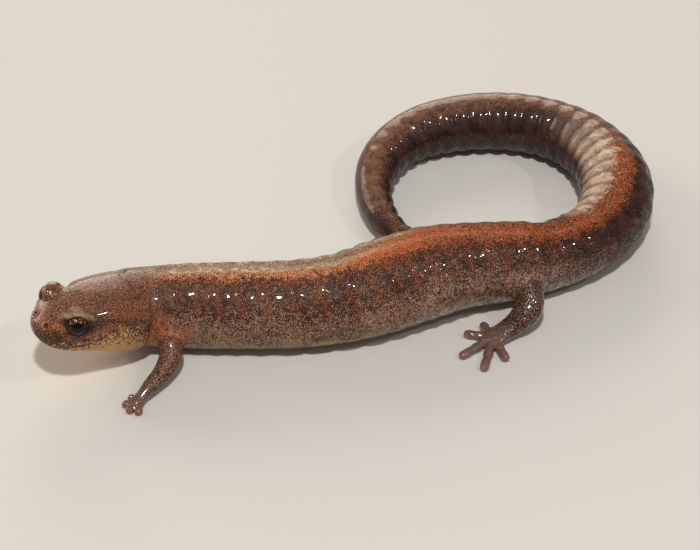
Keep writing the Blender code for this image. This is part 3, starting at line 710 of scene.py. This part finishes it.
def make_limb(key):
    """Leg, palm and toes as closed tubes that run into each other."""
    pair = key.split("_")[0]
    sizes = FORELEG_SIZES if pair == "fore" else HINDLEG_SIZES
    line, along, knots = limb_line(LIMBS[key]["points"])
    widths, heights = ([(knot, size[i]) for knot, size in zip(knots, sizes)] for i in (0, 1))
    pieces = [tube(key, line, along, widths, heights, LIMB_ROWS, LIMB_SIDES, PALM_END_ROUNDINGS[pair])]
    palm = line[-1]
    for number, tip in enumerate(LIMBS[key]["toes"]):
        reach = unit(np.array(tip) - palm[:2])
        root = palm[:2] + reach * TOE_ROOT_REACH
        pieces.append(toe(key + "_toe_" + str(number), root, tip, TOE_HALF_WIDTHS[pair]))
    return pieces


def joined(thing, pieces):
    """Bmesh of the union of closed pieces with a thing. The objects are removed."""
    for piece in pieces:
        boolean = thing.modifiers.new(piece.name, "BOOLEAN")
        boolean.operation = "UNION"
        boolean.object = piece
        boolean.solver = "MANIFOLD"
    graph = bpy.context.evaluated_depsgraph_get()
    work = bmesh.new()
    work.from_object(thing, graph)
    for spare in pieces + [thing]:
        bpy.data.objects.remove(spare, do_unlink=True)
    return work


def soften_joins(work):
    """Round off the sharp valleys where legs and toes run into each other."""
    valley = set()
    roots = [np.array(limb["points"][1]) for limb in LIMBS.values()]
    for edge in work.edges:
        if edge.calc_face_angle_signed(0.0) < -VALLEY_ANGLE:
            middle = (edge.verts[0].co + edge.verts[1].co) / 2
            if min(np.linalg.norm(np.array(middle) - root) for root in roots) < LIMB_REACH:
                valley.update(edge.verts)
    chosen = valley
    for _ in range(SOFTENED_RINGS):
        chosen = chosen | {edge.other_vert(vertex) for vertex in chosen for edge in vertex.link_edges}
    for _ in range(SOFTENING_ROUNDS):
        bmesh.ops.smooth_vert(work, verts=list(chosen), factor=0.5,
                              use_axis_x=True, use_axis_y=True, use_axis_z=True)


# Marks that the colours follow

def body_spots(points):
    """Place and angle of points on or over the body, and how far outside its plain form they are."""
    found = []
    for start, end in ((0.0, TAIL_PARTED), (TAIL_PARTED, TOTAL_LENGTH)):
        chosen = np.nonzero((SPINE_PLACES >= start) & (SPINE_PLACES <= end))[0]
        tree = KDTree(len(chosen))
        for number, sample in enumerate(chosen):
            tree.insert(SPINE_POINTS[sample], number)
        tree.balance()
        nearest = chosen[[tree.find(point)[1] for point in points]]
        place = SPINE_PLACES[nearest]
        centre, backward, left, up = spine_frame(place)
        place = np.clip(place + np.sum((points - centre) * backward, axis=1), start, end)
        centre, backward, left, up = spine_frame(place)
        out = points - centre
        left_by, up_by = np.sum(out * left, axis=1), np.sum(out * up, axis=1)
        half_height = np.where(up_by > 0.0, smooth_value(HALF_HEIGHTS_ABOVE, place),
                               smooth_value(HALF_HEIGHTS_BELOW, place))
        power = 1.0 / smooth_value(SECTION_POWERS, place)
        sine = (np.abs(left_by) / smooth_value(HALF_WIDTHS, place)) ** power
        cosine = (np.abs(up_by) / half_height) ** power
        angle = np.degrees(np.arctan2(sine * np.sign(left_by), cosine * np.sign(up_by)))
        outside = np.hypot(left_by, up_by) * (1.0 - 1.0 / np.maximum(np.hypot(sine, cosine), 0.01))
        found.append((place, angle, outside))
    nearer = found[1][2] < found[0][2]
    return [np.where(nearer, rear, front) for front, rear in zip(*found)]


def limb_marks(points, outside):
    """How much each point belongs to a leg, to a foot and to the tip of a toe."""
    leg, foot, tips = (np.zeros(len(points)) for _ in range(3))
    for limb in LIMBS.values():
        line, along, knots = limb_line(limb["points"])
        near = np.nonzero(np.linalg.norm(points - line[len(line) // 2], axis=1) < LIMB_REACH)[0]
        distances = np.linalg.norm(points[near][:, None] - line[None], axis=2)
        nearest = np.argmin(distances, axis=1)
        reach = np.where(along[nearest] < knots[3], LEG_REACH, TOE_REACH)
        beyond = distances[np.arange(len(near)), nearest] - reach
        belongs = rise(outside[near], *OUTSIDE_BODY) * fall(beyond, *REACH_EDGE)
        leg[near] = np.maximum(leg[near], belongs)
        before, after = FOOT_EDGE
        on_foot = rise(along[nearest], knots[4] + before, knots[5] + after) * belongs
        foot[near] = np.maximum(foot[near], on_foot)
        for tip in limb["toes"]:
            to_tip = np.linalg.norm(points[near] - np.array((*tip, 0.0)), axis=1)
            tips[near] = np.maximum(tips[near], bell(to_tip, TIP_HALF_WIDTH))
    return leg, foot, tips


def add_marks(work):
    """Write what the skin's colours follow to the mesh, as vectors of three."""
    points = coordinates(work)
    place, angle, outside = body_spots(points)
    side = np.abs(angle)
    leg, foot, tips = limb_marks(points, outside)
    millimetres = degree_length(place)
    aside = angle - smooth_value(BACK_MIDDLES, place)
    band = (smooth_value(BAND_HALF_WIDTHS, place) - np.abs(aside)) * millimetres
    low = 0.5 - 0.5 * np.cos(np.radians(side))
    folds = np.concatenate((COSTAL_GROOVES, TAIL_RINGS))
    ribs = np.interp(along_ribs(place, angle), folds, np.arange(len(folds)), left=-0.5)
    jaw = (side - smooth_value(JAW_EDGE, np.minimum(place, JAW_EDGE[-1][0]))) * millimetres
    mirrored = flat_spots(place, side)
    rust, lid, rim, nostril, nothing = (np.zeros(len(points)) for _ in range(5))
    for line, half_width, strength in RUST_MARKS:
        rust = np.maximum(rust, strength * bell(line_distance(mirrored, flat_line(line)), half_width))
    # The mouth's groove and the creases of the head get painted shade
    crease = bell(line_distance(mirrored, flat_line(MOUTH_LINE)), MOUTH_LINE_HALF_WIDTH)
    for depth, near in creases(place, angle):
        crease = np.maximum(crease, near)
    for eye, paleness in ((1, 1.0), (-1, FAR_LID_PALENESS)):
        near, way, reach, across, y = lid_spots(points, eye)
        strength, at, half_width = FAINT_LINE
        pale = rise(across, *LID_LINE[0]) * fall(across, *LID_LINE[1])
        pale += strength * bell(across - at, half_width)
        pale *= rise(y, *LINES_FROM) * fall(reach, *LINES_TO)
        lid[near] = np.maximum(lid[near], pale * paleness)
        rim[near] = fall(across, *DARK_RIM)
        from_nostril = nostril_distances(points, eye)
        in_front = rise(NOSTRIL_PLACE[0] - place, *RIM_FROM)
        nostril += bell(from_nostril - NOSTRIL_RIM[0], NOSTRIL_RIM[2]) * in_front
        nostril -= 2.0 * bell(from_nostril, NOSTRIL_DARK_HALF_WIDTH)
    marks = {
        "band": (band, aside * millimetres, low), "count": (ribs, place, nothing),
        "limb": (leg, foot, tips), "face": (jaw, rust, crease), "lids": (lid, rim, nostril),
    }
    for name, values in marks.items():
        write_mark(work, name, np.stack(values, axis=1))


def make_skin():
    work = joined(body_sheet(), [piece for key in LIMBS for piece in make_limb(key)])
    soften_joins(work)
    points = coordinates(work)
    points[:, 2] = np.maximum(points[:, 2], 0.0)
    move_to(work, points)
    add_marks(work)
    return finished_object("skin", work)


# Eyes

def make_eye(side, word):
    """Wet eye with a bulging front over its ball."""
    centre, gaze, ahead, upward = eye_frame(side)
    work = bmesh.new()
    around, rings = BALL_SEGMENTS
    bmesh.ops.create_uvsphere(work, u_segments=around, v_segments=rings, radius=1.0)
    ways = coordinates(work)
    bulge, half_width = BALL_BULGE
    off_gaze = np.degrees(np.arccos(np.clip(ways[:, 2], -1.0, 1.0)))
    radius = EYE_RADIUS * (1.0 + bulge * bell(off_gaze, half_width))
    write_mark(work, "gaze", ways)
    move_to(work, centre + radius[:, None] * (ways @ np.stack((ahead, upward, gaze))))
    return finished_object("wet_eye_" + word, work)


# Floor, light and camera

def make_floor():
    work = bmesh.new()
    bmesh.ops.create_grid(work, x_segments=1, y_segments=1, size=FLOOR_HALF_SIZE)
    floor = finished_object("floor", work)
    material, tree, shader = material_of("floor")
    shader.inputs["Base Color"].default_value = FLOOR_GREY
    shader.inputs["Roughness"].default_value = 0.7
    floor.data.materials.append(material)


def set_off(data, target, azimuth, elevation, distance):
    """Object for a camera or light that looks at a point. Azimuth 0 is on the camera's side and 90
    on the tail's."""
    thing = bpy.data.objects.new(data.name, data)
    bpy.context.scene.collection.objects.link(thing)
    around, above = math.radians(azimuth), math.radians(elevation)
    level = math.cos(above)
    back = Vector((math.sin(around) * level, -math.cos(around) * level, math.sin(above)))
    thing.location = target + back * distance
    thing.rotation_mode = "QUATERNION"
    thing.rotation_quaternion = (-back).to_track_quat("-Z", "Y")
    return thing


def make_camera():
    camera = bpy.data.cameras.new("camera")
    camera.sensor_width = SENSOR_WIDTH_MM
    camera.lens = SENSOR_WIDTH_MM * FOCAL_LENGTH_PIXELS / PICTURE_WIDTH
    camera.clip_start = 0.001
    thing = set_off(camera, Vector(ORIGIN) * -MM, 0.0, CAMERA_ELEVATION, CAMERA_DISTANCE)
    bpy.context.scene.camera = thing


def make_lights():
    world = bpy.data.worlds.new("studio")
    world.use_nodes = True
    background = world.node_tree.nodes["Background"]
    background.inputs["Color"].default_value = (1.0, 0.97, 0.93, 1.0)
    background.inputs["Strength"].default_value = 0.24
    bpy.context.scene.world = world
    for name, azimuth, elevation, distance, size, power, tint in LIGHTS:
        light = bpy.data.lights.new(name, "AREA")
        light.shape = "DISK"
        light.size = size
        light.energy = power
        light.color = tint
        set_off(light, Vector(), azimuth, elevation, distance)


# Materials

def add(tree, kind, values=None, **settings):
    """Node with its settings, whose inputs are given values or joined to other nodes' sockets."""
    made = tree.nodes.new(kind)
    for name, value in settings.items():
        setattr(made, name, value)
    for key, value in (values or {}).items():
        if isinstance(value, bpy.types.NodeSocket):
            tree.links.new(value, made.inputs[key])
        else:
            made.inputs[key].default_value = value
    return made


def calc(tree, operation, *values):
    node = add(tree, "ShaderNodeMath", dict(enumerate(values)), operation=operation)
    return node.outputs[0]


def smooth_ramp(tree, value, low, high, bottom=0.0, top=1.0):
    """Bottom below low and top above high, smooth between. Low may be the higher one."""
    values = {0: value, 1: low, 2: high, 3: bottom, 4: top}
    return add(tree, "ShaderNodeMapRange", values, interpolation_type="SMOOTHSTEP").outputs[0]


def mix(tree, share, first, second):
    """Colour between two. Colours are sockets or named colours."""
    values = {0: share, 6: first, 7: second}
    return add(tree, "ShaderNodeMix", values, data_type="RGBA").outputs[2]


def noise(tree, where, scale, detail=1.0, roughness=0.5):
    values = {"Vector": where, "Scale": scale, "Detail": detail, "Roughness": roughness}
    return add(tree, "ShaderNodeTexNoise", values).outputs["Fac"]


def new_group(name, inputs, outputs):
    """Node group with its ends, for (name, socket type, default) inputs and (name, type) outputs."""
    group = bpy.data.node_groups.new(name, "ShaderNodeTree")
    for label, kind, value in inputs:
        socket = group.interface.new_socket(label, in_out="INPUT", socket_type=kind)
        if value is not None:
            socket.default_value = value
    for label, kind in outputs:
        group.interface.new_socket(label, in_out="OUTPUT", socket_type=kind)
    return group, group.nodes.new("NodeGroupInput").outputs, group.nodes.new("NodeGroupOutput").inputs


def speckle_group():
    """Ragged specks of a size in millimetres that cover a share of the surface."""
    group, given, out = new_group(
        "specks",
        (("Where", "NodeSocketVector", None), ("Size", "NodeSocketFloat", 0.15),
         ("Cover", "NodeSocketFloat", 0.5), ("Edge", "NodeSocketFloat", SPECK_EDGE)),
        (("Mask", "NodeSocketFloat"),))
    scaled = add(group, "ShaderNodeVectorMath", {0: given["Where"]}, operation="SCALE")
    group.links.new(calc(group, "DIVIDE", 1.0, given["Size"]), scaled.inputs["Scale"])
    grain = noise(group, scaled.outputs[0], 1.0, 1.5, 0.55)
    # The noise is gathered round its middle, so a share of the surface is a narrow range of it
    threshold = calc(group, "MULTIPLY_ADD", calc(group, "SUBTRACT", 0.5, given["Cover"]), 0.5, 0.5)
    low = calc(group, "SUBTRACT", threshold, given["Edge"])
    high = calc(group, "ADD", threshold, given["Edge"])
    group.links.new(smooth_ramp(group, grain, low, high), out["Mask"])
    return group


def millimetres_of_object(tree):
    """Object coordinates in millimetres."""
    where = add(tree, "ShaderNodeTexCoord").outputs["Object"]
    return add(tree, "ShaderNodeMapping", {"Vector": where, "Scale": (1000.0, 1000.0, 1000.0)}).outputs[0]


def marks_of(tree, name):
    """The three numbers of a mark on the mesh."""
    vector = add(tree, "ShaderNodeAttribute", attribute_name=name).outputs["Vector"]
    return add(tree, "ShaderNodeSeparateXYZ", {0: vector}).outputs


def colour(red, green, blue):
    return (red, green, blue, 1.0)


BLACK_BROWN = colour(0.014, 0.004, 0.002)
DARK_BROWN = colour(0.042, 0.012, 0.006)
RED_BROWN = colour(0.1, 0.027, 0.012)
ORANGE = colour(0.4, 0.105, 0.024)
DEEP_ORANGE = colour(0.31, 0.056, 0.009)
PALE_ORANGE = colour(0.62, 0.28, 0.13)
RUST_ORANGE = colour(0.6, 0.16, 0.04)
# Painted sheen on the ridges of the back
PAINTED_RIDGE_SHEEN = colour(0.29, 0.185, 0.115)
RUST_SPECK = colour(0.42, 0.17, 0.08)
GREY_SPECK = colour(0.42, 0.225, 0.155)
LOW_SPECK = colour(0.52, 0.345, 0.185)
CREAM = colour(0.68, 0.37, 0.165)
CROWN_BROWN = colour(0.024, 0.006, 0.003)
CROWN_SPECK = colour(0.29, 0.125, 0.07)
TAIL_BROWN = colour(0.14, 0.06, 0.032)
TAIL_RUST = colour(0.18, 0.072, 0.036)
# Painted sheen on the ribs of the tail's inner bend
TAIL_RIB_SHEEN = colour(0.51, 0.37, 0.265)
LEG_SPECK = colour(0.34, 0.19, 0.12)
FOOT_BROWN = colour(0.105, 0.058, 0.046)
TOE_PINK = colour(0.28, 0.095, 0.064)
VESSEL_RED = colour(0.22, 0.03, 0.012)
LID_CREAM = colour(0.36, 0.27, 0.155)
PUPIL = colour(0.002, 0.0015, 0.001)
IRIS_BLACK = colour(0.01, 0.005, 0.003)
IRIS_BROWN = colour(0.055, 0.024, 0.012)
COPPER = colour(0.42, 0.19, 0.08)


def material_of(name):
    """New material with its tree and shader."""
    material = bpy.data.materials.new(name)
    material.use_nodes = True
    return material, material.node_tree, material.node_tree.nodes["Principled BSDF"]


def speck_mask(tree, specks, where, size, cover, edge=SPECK_EDGE):
    """Specks of a size that cover a share of the surface. The share may be a number or a socket."""
    values = {"Where": where, "Size": size, "Cover": cover, "Edge": edge}
    return add(tree, "ShaderNodeGroup", values, node_tree=specks).outputs["Mask"]


def skin_material(specks):
    material, tree, shader = material_of("speckled_wet_skin")
    where = millimetres_of_object(tree)
    band, aside, low = marks_of(tree, "band")
    ribs, place = marks_of(tree, "count")[:2]
    leg, foot, tips = marks_of(tree, "limb")
    jaw, rust, crease = marks_of(tree, "face")
    lid, rim, nostril = marks_of(tree, "lids")

    def ramp(*values):
        return smooth_ramp(tree, *values)

    def times(first, *others):
        for other in others:
            first = calc(tree, "MULTIPLY", first, other)
        return first

    def plus(first, *others):
        for other in others:
            first = calc(tree, "ADD", first, other)
        return first

    def over(below, paint, *shares):
        """Colour with a paint over it, which covers the product of the shares."""
        return mix(tree, times(*shares), below, paint)

    def grain_of(scale, detail=1):
        return noise(tree, where, scale, detail)

    def specks_of(size, cover, edge=SPECK_EDGE):
        return speck_mask(tree, specks, where, size, cover, edge)

    def swing(value, amount):
        """A noise turned into a change of up to the amount both ways."""
        return calc(tree, "MULTIPLY_ADD", value, 2.0 * amount, -amount)

    drift, clouds, patches = grain_of(0.5, 2), grain_of(1.1, 2), grain_of(2.6, 2)
    fine, wrinkles, sparkle = grain_of(9), grain_of(2.4), grain_of(5)
    on_head = ramp(plus(place, swing(clouds, 3)), 12.2, 8.6)
    to_rib = calc(tree, "PINGPONG", plus(ribs, swing(patches, 0.1)), 0.5)

    # Ground: dark brown under pale specks that grow denser down the flank
    dark = over(BLACK_BROWN, DARK_BROWN, ramp(clouds, 0.35, 0.65))
    pale = over(RUST_SPECK, GREY_SPECK, ramp(low, 0.08, 0.3))
    pale = over(pale, LOW_SPECK, ramp(low, 0.4, 0.75))
    cover = plus(ramp(low, 0.08, 0.42, 0.27, 0.43), ramp(low, 0.5, 0.85, 0, 0.07),
                 swing(patches, 0.26), swing(drift, 0.14), ramp(place, 37, 46, 0, -0.24),
                 ramp(place, 48, 54, 0, -0.11))
    ground = over(dark, pale, specks_of(0.072, cover))

    # Thin red vessels in the grooves between the ribs, and rusty specks round them
    mid_flank = times(ramp(low, 0.08, 0.18), ramp(low, 0.5, 0.32), ramp(place, 39.5, 37.5))
    rusty = times(ramp(to_rib, 0.3, 0.05), ramp(low, 0.4, 0.15), ramp(place, 40, 37))
    ground = over(ground, DEEP_ORANGE, rusty, specks_of(0.09, 0.38), 0.6)
    vessel = times(ramp(to_rib, 0.032, 0.006), mid_flank, ramp(clouds, 0.36, 0.55, 0.1, 0.75))
    ground = over(ground, VESSEL_RED, vessel)

    # Coloured band along the back, which frays into specks on the flank
    ragged = ramp(place, 35, 27, 0.35, 1)
    inside = plus(band, times(plus(swing(clouds, 0.5), swing(patches, 0.4)), ragged))
    cover = plus(times(ramp(inside, -1.6, -0.1, 0.02, 0.34), ragged), ramp(inside, -0.25, 0.5, 0, 0.34),
                 ramp(inside, 0.4, 1.1, 0, 0.06), times(ramp(band, -0.2, 0.4), swing(patches, 0.34)),
                 ramp(aside, -0.2, -0.9, 0, -0.1), ramp(place, 29, 23, 0, -0.11),
                 ramp(place, 53, 58, 0, 0.16), ramp(place, 80, 88, 0, -0.2))
    redder = plus(ramp(patches, 0.38, 0.66), ramp(place, 26, 34, 0, 0.35))
    orange = over(ORANGE, DEEP_ORANGE, redder)
    orange = over(orange, PALE_ORANGE, specks_of(0.1, ramp(place, 22, 29, 0.56, 0.26)))

    # Ridges beside the groove of the back, as far as the rump, painted pale and grey as a sheen
    before_rump = ramp(plus(place, swing(patches, 3)), 33.5, 27.5)
    past_middle = plus(aside, ramp(place, 23, 30, 0, 1.1))
    ridges = times(ramp(past_middle, 1.1, 0.35), ramp(band, -0.2, 0.3), before_rump)
    orange = over(orange, PAINTED_RIDGE_SHEEN, ridges, ramp(patches, 0.3, 0.6, 0.5, 0.95))
    fading = ramp(plus(place, swing(clouds, 7)), 52.5, 57)
    orange = over(orange, over(TAIL_BROWN, TAIL_RUST, ramp(patches, 0.48, 0.62)), fading)
    banded = specks_of(0.085, cover)
    ground = over(ground, orange, banded)
    pepper = times(ridges, specks_of(0.07, 0.33, 0.04))
    ground = over(ground, BLACK_BROWN, pepper, 0.75)

    # Ribs on the inner side of the tail's bend, painted pale as a sheen
    inner = times(ramp(plus(aside, swing(patches, 1.1)), -0.25, -0.95), ramp(low, 0.4, 0.2),
                  ramp(place, 42.5, 45), ramp(plus(place, swing(clouds, 3)), 62, 53, 0, 0.95),
                  ramp(to_rib, 0, 0.32, 0.35, 1), ramp(clouds, 0.35, 0.6, 0.6, 1),
                  ramp(specks_of(0.22, 0.7), 0, 1, 0.6, 1))
    ground = over(ground, TAIL_RIB_SHEEN, inner)

    # Head: finely peppered crown and cheeks, rusty marks, pale jaw
    peppered = specks_of(0.085, ramp(low, 0.02, 0.45, 0.5, 0.37))
    crown = over(over(CROWN_BROWN, CROWN_SPECK, peppered), RED_BROWN, specks_of(0.17, 0.36), 0.55)
    unbanded = ramp(plus(banded, ramp(place, 8.8, 10, -1, 0)), 0.9, 0.3)
    ground = over(ground, crown, on_head, unbanded)
    frayed = times(rust, ramp(patches, 0.3, 0.55, 0.35, 1))
    ground = over(ground, RUST_ORANGE, frayed, specks_of(0.1, 0.57))
    # Cream on the throat's fold under the shoulder: its own pale colour, with painted light that lifts the
    # shade under the jaw
    ground = over(ground, CREAM, rust, ramp(low, 0.55, 0.75), specks_of(0.12, 0.5), 0.8)
    ragged = plus(jaw, swing(patches, 0.8))
    cover = plus(ramp(ragged, -0.9, 0.1, 0.1, 0.46), ramp(ragged, 0.1, 1.3, 0, 0.24), swing(patches, 0.1))
    ground = over(ground, CREAM, specks_of(0.1, cover), ramp(ragged, -1, -0.4), ramp(place, 9, 8.6))
    # Painted shade darkens the creases of the head and the mouth's groove
    ground = over(ground, BLACK_BROWN, crease, 0.65)

    # Lids, edge of the eye's opening, and nostrils with a painted highlight on the rim and painted shade
    # in the pit
    ground = over(ground, LID_CREAM, lid, ramp(specks_of(0.12, 0.55), 0, 1, 0.3, 0.85))
    ground = over(ground, BLACK_BROWN, rim)
    ground = over(ground, LID_CREAM, ramp(nostril, 0.2, 0.9, 0, 0.6))
    ground = over(ground, BLACK_BROWN, ramp(nostril, -0.1, -1))

    # Legs, feet and toe tips
    legs = over(BLACK_BROWN, LEG_SPECK, specks_of(0.085, 0.4), ramp(place, 20, 30, 1, 0.7))
    legs = over(legs, RED_BROWN, specks_of(0.3, 0.22), 0.5)
    ground = over(ground, legs, ramp(leg, 0.1, 0.9))
    ground = over(ground, DEEP_ORANGE, frayed, leg, specks_of(0.14, 0.45), 0.7)
    feet = over(FOOT_BROWN, LEG_SPECK, specks_of(0.09, 0.4), 0.35)
    feet = over(feet, TOE_PINK, tips, 0.65)
    ground = over(ground, feet, foot)
    tree.links.new(ground, shader.inputs["Base Color"])

    # Roughness: dull along the band from the middle of the trunk to the tail's bend, smoother where
    # the flank before the hind leg, the temples, the snout and the legs gleam
    dull = times(ramp(place, 24, 30), ramp(place, 54, 50), ramp(band, -0.3, 0.2),
                 ramp(ridges, 0.8, 0.2))
    rear_flank = times(ramp(place, 26, 31), ramp(place, 46, 42), ramp(band, 0, -0.4))
    temple = times(ramp(place, 9.5, 8.6), ramp(place, 2.6, 3.6), ramp(low, 0.12, 0.2), ramp(low, 0.6, 0.5))
    snout = times(ramp(place, 3.4, 2.2), ramp(aside, 1.3, 0.3))
    glinting = plus(rear_flank, temple)
    gleam = plus(times(glinting, ramp(patches, 0.42, 0.58)), times(plus(leg, foot), 0.5), snout,
                 times(rear_flank, 0.4))
    rough = plus(ramp(fine, 0.4, 0.6, 0.4, 0.62), times(dull, 0.2))
    tree.links.new(times(rough, ramp(gleam, 0, 1.3, 1, 0.2)), shader.inputs["Roughness"])

    # Wet coat, which is broken into patches and small glints
    wet = times(ramp(grain_of(1.8, 2), 0.46, 0.64, 0.05, 0.65), ramp(place, 8, 11),
                ramp(place, 52, 58, 1, 0.45),
                ramp(sparkle, 0.42, 0.52, ramp(place, 48, 54, 0.2, 1), 1))
    far_crown = times(ramp(place, 11, 8), ramp(aside, 1.1, -1, 0.14, 0.7),
                      ramp(peppered, 0, 1, 0.5, 1), ramp(place, 2.8, 1.6, 1, 0.95))
    wet = plus(wet, far_crown, times(crease, 0.15), ramp(place, 52, 58, 0, 0.3), times(foot, 0.8),
               times(glinting, ramp(sparkle, 0.46, 0.56)))
    wet = times(wet, ramp(dull, 1, 0, 0.1, 1), ramp(pepper, 0, 1, 1, 0.15))
    tree.links.new(wet, shader.inputs["Coat Weight"])
    shader.inputs["Coat Roughness"].default_value = 0.05
    shader.inputs["Specular IOR Level"].default_value = 0.22

    # Grain and wrinkles
    depth = plus(ramp(place, 8, 12, 0.016, 0.045), times(rear_flank, 0.06), times(foot, 0.05))
    height = plus(times(wrinkles, depth),
                  times(sparkle, plus(rear_flank, foot, times(temple, 0.6)), 0.04))
    height = plus(times(fine, ramp(ridges, 0, 1, 0.034, 0.055)), height)
    bump = add(tree, "ShaderNodeBump", {"Height": height, "Strength": 1, "Distance": MM})
    tree.links.new(bump.outputs[0], shader.inputs["Normal"])
    return material


def eye_material(specks):
    """Black pupil, dark iris with copper flecks in its upper half, and a black edge."""
    material, tree, shader = material_of("wet_eye")
    across, upward, front = marks_of(tree, "gaze")
    out = add(tree, "ShaderNodeCombineXYZ", {0: calc(tree, "MULTIPLY", across, 0.88), 1: upward})
    out = add(tree, "ShaderNodeVectorMath", {0: out.outputs[0]}, operation="LENGTH").outputs["Value"]
    where = millimetres_of_object(tree)
    iris = mix(tree, speck_mask(tree, specks, where, 0.1, 0.4), IRIS_BLACK, IRIS_BROWN)
    upper = smooth_ramp(tree, upward, 0.12, 0.5)
    cover = calc(tree, "MULTIPLY", upper, smooth_ramp(tree, out, 0.36, 0.46, 0, 0.42))
    ground = mix(tree, speck_mask(tree, specks, where, 0.13, cover), iris, COPPER)
    ground = mix(tree, smooth_ramp(tree, out, 0.64, 0.74), ground, IRIS_BLACK)
    ground = mix(tree, smooth_ramp(tree, out, 0.42, 0.38), ground, PUPIL)
    tree.links.new(ground, shader.inputs["Base Color"])
    shader.inputs["Roughness"].default_value = 0.2
    shader.inputs["Specular IOR Level"].default_value = 0.15
    shader.inputs["Coat Weight"].default_value = 0.32
    shader.inputs["Coat IOR"].default_value = 1.33
    shader.inputs["Coat Roughness"].default_value = 0.02
    return material


specks = speckle_group()
skin = make_skin()
skin.data.materials.append(skin_material(specks))
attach(skin, "root")
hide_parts(*[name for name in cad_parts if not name.startswith("eye")])
wet_eye = eye_material(specks)
for side, word in ((1, "left"), (-1, "right")):
    eye = make_eye(side, word)
    eye.data.materials.append(wet_eye)
    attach(eye, "root")
    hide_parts("eye_" + word)
make_floor()
make_camera()
make_lights()
bpy.context.scene.view_settings.view_transform = "Standard"
